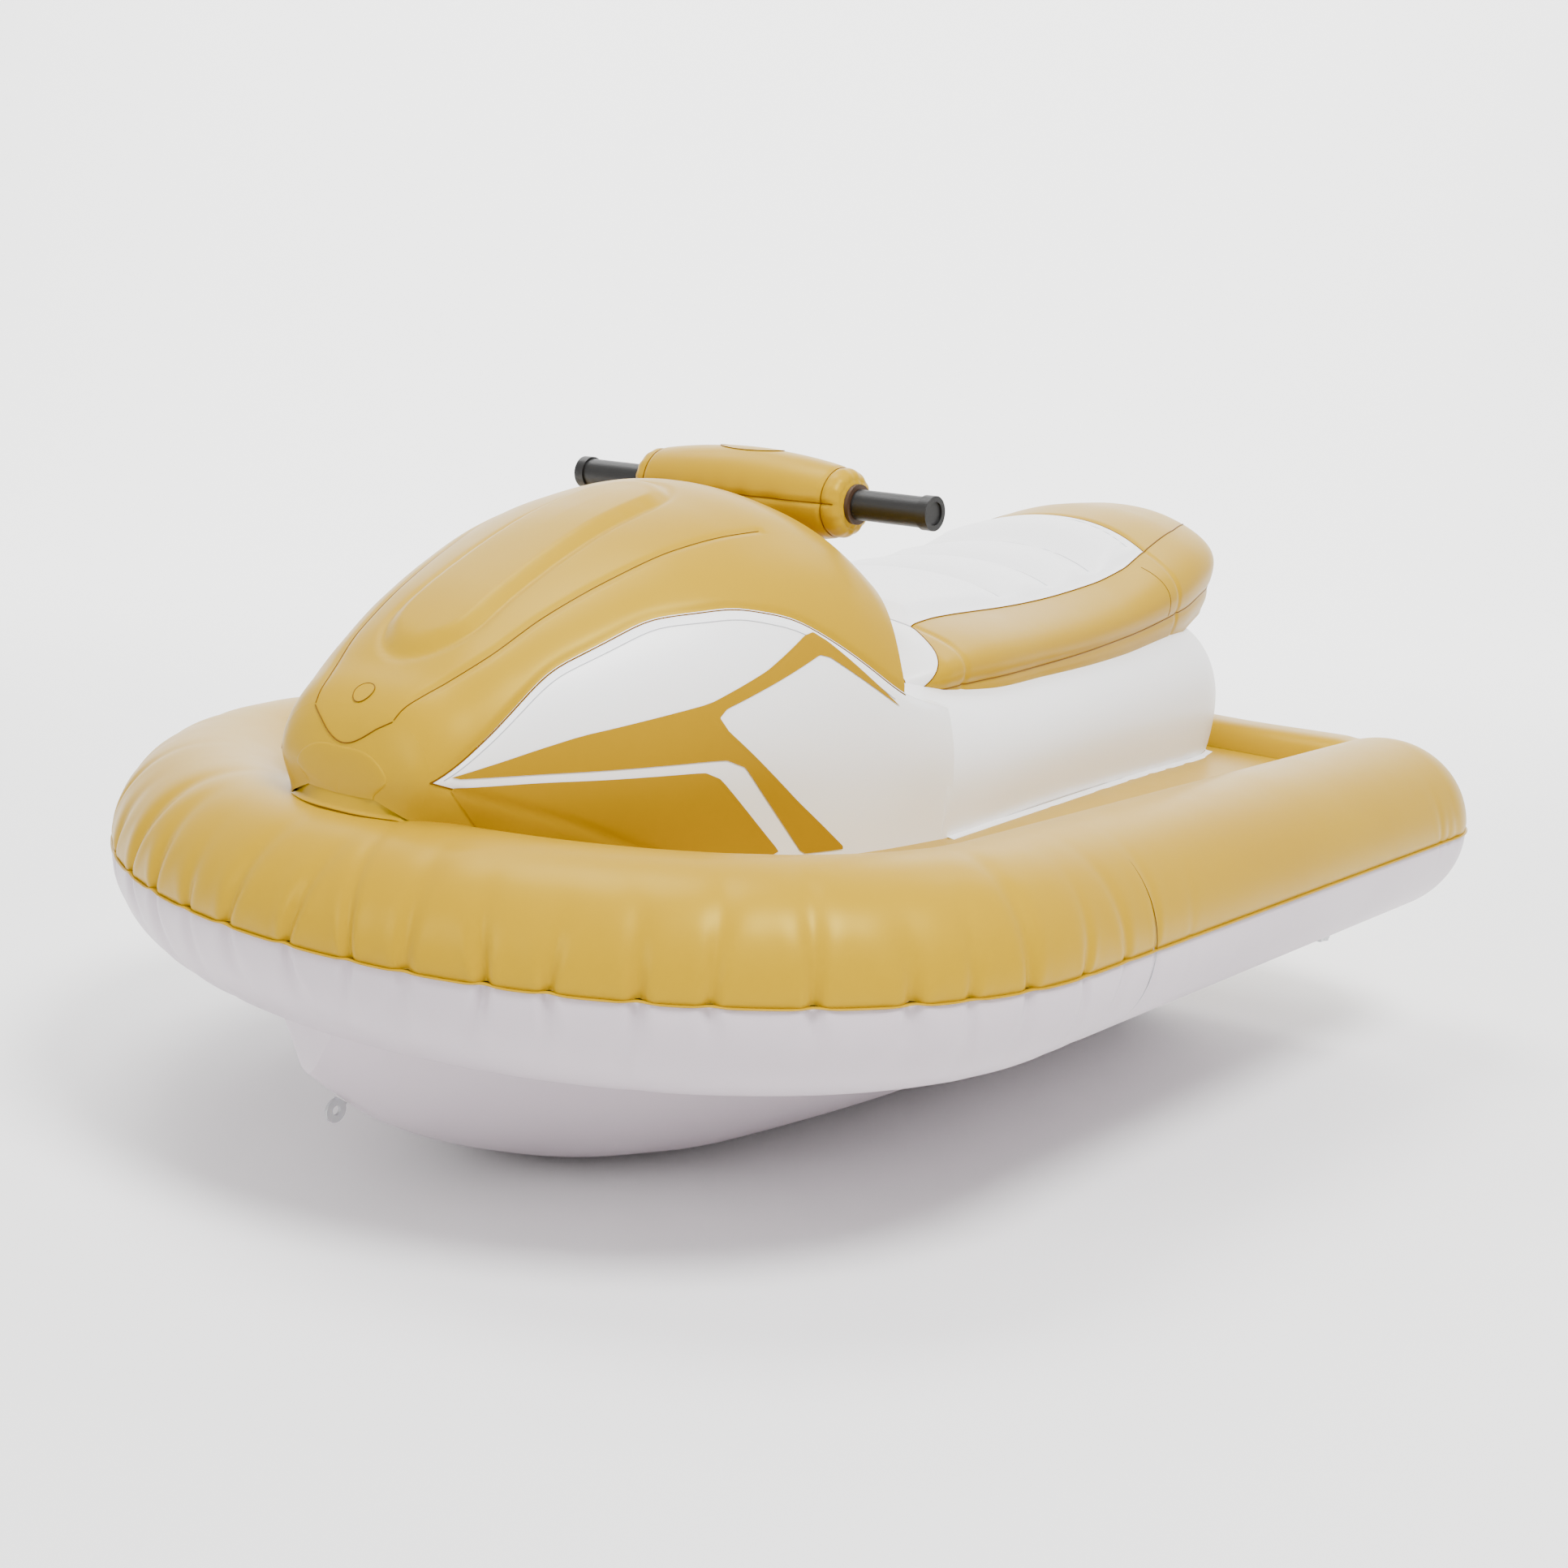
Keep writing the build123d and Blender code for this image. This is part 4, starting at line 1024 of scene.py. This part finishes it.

# %% [markdown]
# At the bottom of each channel the two films are pressed together. A low, broad bead in a greyer white marks
# this weld and is also painted shade along the crease, because the channel's own shade is too soft to read from
# a distance. One more weld closes the front of the cushion, where the gusset begins.

# %% Quilt creases and gusset seam
for k, at in enumerate(CHANNELS):
    v = np.linspace(-0.87, 0.87, 80)
    x = at - 28 * (1 - v * v)
    points, normals = blown(SEAT, x, 1 - np.abs(v) * (1 - top_s(x)), 1, seat_relief)
    mirror_y = np.stack([np.ones(80), np.where(v < 0, -1, 1), np.ones(80)], 1)
    # the broad grey bead is painted shade at the bottom of the channel, laid over its weld
    bead("quilt_channel_weld_and_shade_" + str(k + 1), points * mirror_y, normals * mirror_y, WHITE_LINE, width=4.6, height=0.35,
         slot_name="white_vinyl")
bead("seat_gusset_seam", nose + [0.6, 0, 0], np.tile([1.0, 0, 0], (len(nose), 1)), LINE, width=1.4, height=0.6)
print("creases and gusset seam made")

# %% [markdown]
# The deck is a drum-tight sheet welded between the tubes. It is made as a thin sheet that is crowned a
# little by the air below and gathers slightly where it meets the tubes.

# %% Deck
deck_rows = []
for x in np.linspace(-650, 625, 90):
    if x > BOW_CX:
        half = BOW_YR * math.sqrt(max(0.0, 1 - ((x - BOW_CX) / BOW_XR) ** 2))
    else:
        half = BOW_YR - SIDE_SLOPE * (BOW_CX - x)
    half = max(half - 88, 6)
    across = np.linspace(-1, 1, 70)
    crown = 1.6 * (1 - across ** 2) - 2.2 * np.exp(-(1 - np.abs(across)) * half / 12)
    gather = 0.8 * math.sin(x / 9.0 + 2 * math.sin(x / 71)) * np.exp(-(1 - np.abs(across)) * half / 20)
    deck_rows.append(np.stack([np.full(70, x), across * half, SEAM_Z + DECK_Z + crown + gather], -1))
deck = np.stack(deck_rows)
thick = np.concatenate([deck, (deck - [0, 0, 1.6])[:, ::-1]], 1)
Patchwork().grid(thick, loop=True).build("deck_sheet", YELLOW, nodes=("deck_panel",))
print("deck", deck.shape)

# %% [markdown]
# The stern beam is a cross tube that stops the side tubes from spreading. Its section is a rounded square, since it is
# squeezed between deck and belly, and its rear face is pinched along a weld with small gathers.

# %% Stern beam
BEAM_X, BEAM_Z, BEAM_DEEP, BEAM_TALL = -695, 12, 46, 75
angle = np.linspace(0, 2 * math.pi, 61)[:-1]
around, upward = [np.abs(turn(angle)) ** 0.62 * np.sign(turn(angle)) for turn in (np.cos, np.sin)]
weld_gap = np.abs(upward) * BEAM_TALL
beam_rows = []
for y in np.linspace(-380, 380, 150):
    swell = 1 + 0.012 * math.sin(y / 47) - 0.02 * math.exp(-((abs(y) - 372) / 10) ** 2)
    pinch = 1.8 * np.exp(-(weld_gap / 4.0) ** 2) * (around < 0)
    ripple = 0.9 * math.sin(y / 8.0 + 2 * math.sin(y / 55)) * np.exp(-(weld_gap / 20.0)) * (around < 0)
    beam_rows.append(np.stack([BEAM_X + (BEAM_DEEP - pinch + ripple) * around * swell, np.full(60, y),
                               SEAM_Z + BEAM_Z + BEAM_TALL * upward * swell], -1))
beam = Patchwork().grid(np.stack(beam_rows), loop=True)
for row, out in ((beam_rows[0], -1), (beam_rows[-1], 1)):
    middle = row.mean(0)
    rings = [middle + (row - middle) * max(math.cos(a), 0.002) + [0, out * 44 * math.sin(a), 0]
             for a in np.linspace(0, math.pi / 2, 14)]
    beam.grid(np.stack(rings), loop=True, flip=out < 0)
beam.build("stern_beam_cover", YELLOW, nodes=("stern_beam",))
print("stern beam", len(beam_rows), "rows")

# %% [markdown]
# The belly is the keel chamber that carries the float on the water. It is the pale film of the hull's lower
# side. Its underside is set flat where it would lie on the ground, and both ends are closed.


# %% Belly
def belly_point(x, s, side):
    yz = section(KEEL, x, s)
    swell = 1.6 * np.sin(x / 70) * np.sin(s * 9)
    z = np.maximum(SEAM_Z - yz[..., 1] - swell, 0.4)
    return np.stack([np.broadcast_to(x, s.shape), side * yz[..., 0], z], -1)


belly_x, belly_s = np.meshgrid(np.linspace(-640, 688, 220), np.linspace(0, 1, 60), indexing="ij")
port_half = belly_point(belly_x, belly_s, 1)
belly = np.concatenate([port_half, port_half[:, ::-1][:, 1:] * [1, -1, 1]], 1)
for row, out, end in ((belly[0], -1, "stern"), (belly[-1], 1, "bow")):
    cap = rounded_end(row, out, 3, (row[0, 0], 0, row[:, 2].max()))
    Patchwork().grid(cap, flip=out < 0).build("belly_end_" + end, UNDER, slot_name="underside_vinyl")
Patchwork().grid(belly).build("belly_cover", UNDER, slot_name="underside_vinyl", nodes=("keel_shell",))
print("belly", belly.shape)

# %% [markdown]
# The pod is a fat round cushion across the hood top, welded from an upper and a lower half, with a round end
# disc at each side and an oval patch on top. It is turned from its profile, then pinched along the split
# and gathered in small puckers where the film closes round the collars.

# %% Pod
POD_HALF, POD_END_R, POD_MID_R = 140.0, 34.0, 48.0


def pod_radius(y):
    radius = (POD_HALF ** 2 / (POD_MID_R - POD_END_R) + (POD_MID_R - POD_END_R)) / 2
    return np.sqrt(radius ** 2 - y ** 2) - radius + POD_MID_R


def pod_points(y, a):
    """Pod surface at width y and angle a, where a = 0 and pi are the split between the halves."""
    radius = pod_radius(y)
    inboard = POD_HALF - np.abs(y)
    relief = -1.7 * np.exp(-(np.minimum(np.abs(np.sin(a)), 1) * radius / 3.4) ** 2)
    relief -= 1.5 * np.exp(-((inboard - 18) / 3.2) ** 2)
    relief += 0.9 * np.sin(y / 6.5 + 2 * np.sin(y / 31)) * np.exp(-np.abs(np.sin(a)) * radius / 8)
    relief += 0.7 * np.sin(a * 15 + np.sign(y)) * np.exp(-inboard / 9.0)
    roll = np.clip(1 - inboard / 11.0, 0, 1)
    radius = radius + relief - 9 * (1 - np.sqrt(1 - roll ** 2 * 0.999))
    return np.stack([BAR_X + radius * np.cos(a), y, BAR_Z + radius * np.sin(a)], -1)


pod_y = np.sin(np.linspace(-1, 1, 150) * math.pi / 2) * POD_HALF
for name, low, high in (("upper", 0.0, math.pi), ("lower", math.pi, 2 * math.pi)):
    y, a = np.meshgrid(pod_y, np.linspace(low, high, 60), indexing="ij")
    patch = Patchwork().grid(pod_points(y, a), flip=True)
    for end in (-1, 1):
        rim_points = pod_points(np.full(60, end * POD_HALF), np.linspace(low, high, 60))
        middle = np.array([BAR_X, end * POD_HALF, BAR_Z])
        rings = []
        for k in np.linspace(1, 0.36, 12):
            ring_k = middle + (rim_points - middle) * k
            ring_k[:, 1] = end * (POD_HALF + 2.2 * math.sin((1 - k) / 0.64 * math.pi) * (1 if k < 1 else 0))
            rings.append(ring_k)
        patch.grid(np.stack(rings), flip=end > 0)
    patch.build("pod_" + name + "_cover", YELLOW, nodes=("pod_" + name,))
print("pod halves made")

# %% [markdown]
# The split between the halves shows as a weld in front and behind. A round seam near each end holds the end disc,
# and the blank oval patch on top has a welded rim.

# %% Pod welds and patch
POD_SEAM_Y = POD_HALF - 18
for level, a in (("bow", 0.0), ("stern", math.pi)):
    points = pod_points(np.linspace(-136, 136, 120), np.full(120, a))
    out = np.tile([math.cos(a), 0, 0], (120, 1))
    bead("pod_split_" + level, points + out * 0.4, out, LINE, width=1.3, height=0.6)
for side, where in SIDES:
    points = pod_points(np.full(89, side * POD_SEAM_Y), np.linspace(0, 2 * math.pi, 90)[:-1])
    out = points - [BAR_X, side * POD_SEAM_Y, BAR_Z]
    out /= np.linalg.norm(out, axis=1)[:, None]
    bead("pod_end_seam_" + where, points + out * 0.3, out, LINE, width=1.3, height=0.5, closed=True)
oval_a = np.linspace(0, 2 * math.pi, 60)[:-1]
oval_y = 42 * np.cos(oval_a)


def oval_ring(k):
    """The patch's outline shrunk by k, lying on the pod."""
    return pod_points(oval_y * k, math.pi / 2 - 17 * k * np.sin(oval_a) / 48)


edge = oval_ring(1)
out = edge - np.stack([np.full(59, BAR_X), oval_y, np.full(59, BAR_Z)], -1)
out /= np.linalg.norm(out, axis=1)[:, None]
bead("pod_patch_edge", edge + out * 0.5, out, LINE, width=1.1, height=0.4, closed=True)
rings = [oval_ring(k) + out * 0.5 for k in (1, 0.75, 0.5, 0.25, 0.01)]
Patchwork().grid(np.stack(rings), loop=True).build("pod_patch_film", YELLOW, nodes=("pod_patch",))
print("pod patch made")

# %% [markdown]
# Grips, collars, tow eye and valves are small moulded parts whose CAD shape is the real shape. They are kept as
# they are and only take a finish: satin black rubber for the grips, clear grey film for the tow eye and milky soft
# vinyl for the valves.

# %% Finishes on the kept pieces
FINISH = {"grip_collar": DARK, "grip": BLACK, "handlebar": BAR, "tow_eye": CLEAR, "valve": VALVE,
          "bulkhead": UNDER, "pod_sleeve": BAR}
for name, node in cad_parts.items():
    match = next((mat for key, mat in FINISH.items() if name.startswith(key)), None)
    if match is not None and not node.hide_render:
        node.data.materials.clear()
        node.data.materials.append(match)
print("kept", sum(not n.hide_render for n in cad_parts.values()), "frame pieces")

# %% [markdown]
# The float stands on a plain pale floor that curves up into a wall far behind it, as a roll of paper does in a
# studio, so no horizon line is seen. The surroundings send the same soft light from everywhere.

# %% Floor and surroundings
away = np.array([-0.793, -0.609])
side_way = np.array([0.609, -0.793])
profile = [(-14, 0), (-4, 0), (2, 0)] + [(4.5 + 3 * math.sin(a), 3 - 3 * math.cos(a))
                                         for a in np.linspace(0, math.pi / 2, 20)] + [(7.5, 9)]
sweep = np.array([[(*(away * run + side_way * side), height - 0.002) for side in (-16, 16)]
                  for run, height in profile])
floor = Patchwork().grid(sweep / MM, flip=True).build("studio_sweep", vinyl(
    "studio_floor", (0.93, 0.93, 0.925), (0.92, 0.92, 0.915), roughness=0.85, coat=0.0, grain=0.0, wave=0.0,
    soil=0.0, sss=0.0))
world = bpy.data.worlds.new("studio")
bpy.context.scene.world = world
world.use_nodes = True
world.node_tree.nodes["Background"].inputs["Color"].default_value = (1.0, 0.995, 0.99, 1)
world.node_tree.nodes["Background"].inputs["Strength"].default_value = 0.9


print("floor", sweep.shape)

# %% [markdown]
# Broad soft lamps keep the shadow below the float weak: a key lamp from the port bow, one from above and a small
# fill at the bow. Two more light only the wall behind.


# %% Lamps
def area_light(name, place, target, size, power):
    lamp = bpy.data.lights.new(name, "AREA")
    lamp.shape = "DISK"
    lamp.size = size
    lamp.energy = power
    obj = bpy.data.objects.new(name, lamp)
    obj.location = place
    obj.rotation_euler = (Vector(target) - Vector(place)).to_track_quat("-Z", "Y").to_euler()
    bpy.context.scene.collection.objects.link(obj)
    return obj


area_light("key", (0.9, 2.3, 3.8), (0, 0, 0.3), 1.5, 270)
area_light("top", (0.3, -0.9, 4.2), (0, 0, 0.3), 2.0, 110)
area_light("bow_fill", (4.2, -0.8, 1.8), (0.3, 0, 0.3), 1.6, 50)
for k, lean in (("left", -2.6), ("right", 2.6)):
    place = (*(away * 3.2 + side_way * lean), 5.2)
    area_light("backdrop_" + k, place, (*(away * 7.5 + side_way * lean), 1.4), 2.5, 560)
print(len(bpy.data.lights), "lamps")

# %% [markdown]
# The camera stands off the port bow a little above the hood, as the eye of someone who walks up to it. Its stance
# is given by three directions, to its right, down and ahead, which leaves no doubt about its roll.

# %% Camera
camera_data = bpy.data.cameras.new("camera")
camera_data.lens, camera_data.sensor_width = 53.24, 36.0
camera = bpy.data.objects.new("camera", camera_data)
right = Vector((-0.61771, 0.78408, 0.06043))
down = Vector((0.11775, 0.16819, -0.9787))
ahead = Vector((-0.77754, -0.59743, -0.19622))
pose = Matrix((right, -down, -ahead)).transposed().to_4x4()
pose.translation = Vector((2.0433, 1.5721, 0.8439))
camera.matrix_world = pose
bpy.context.scene.collection.objects.link(camera)
bpy.context.scene.camera = camera
print("camera set")
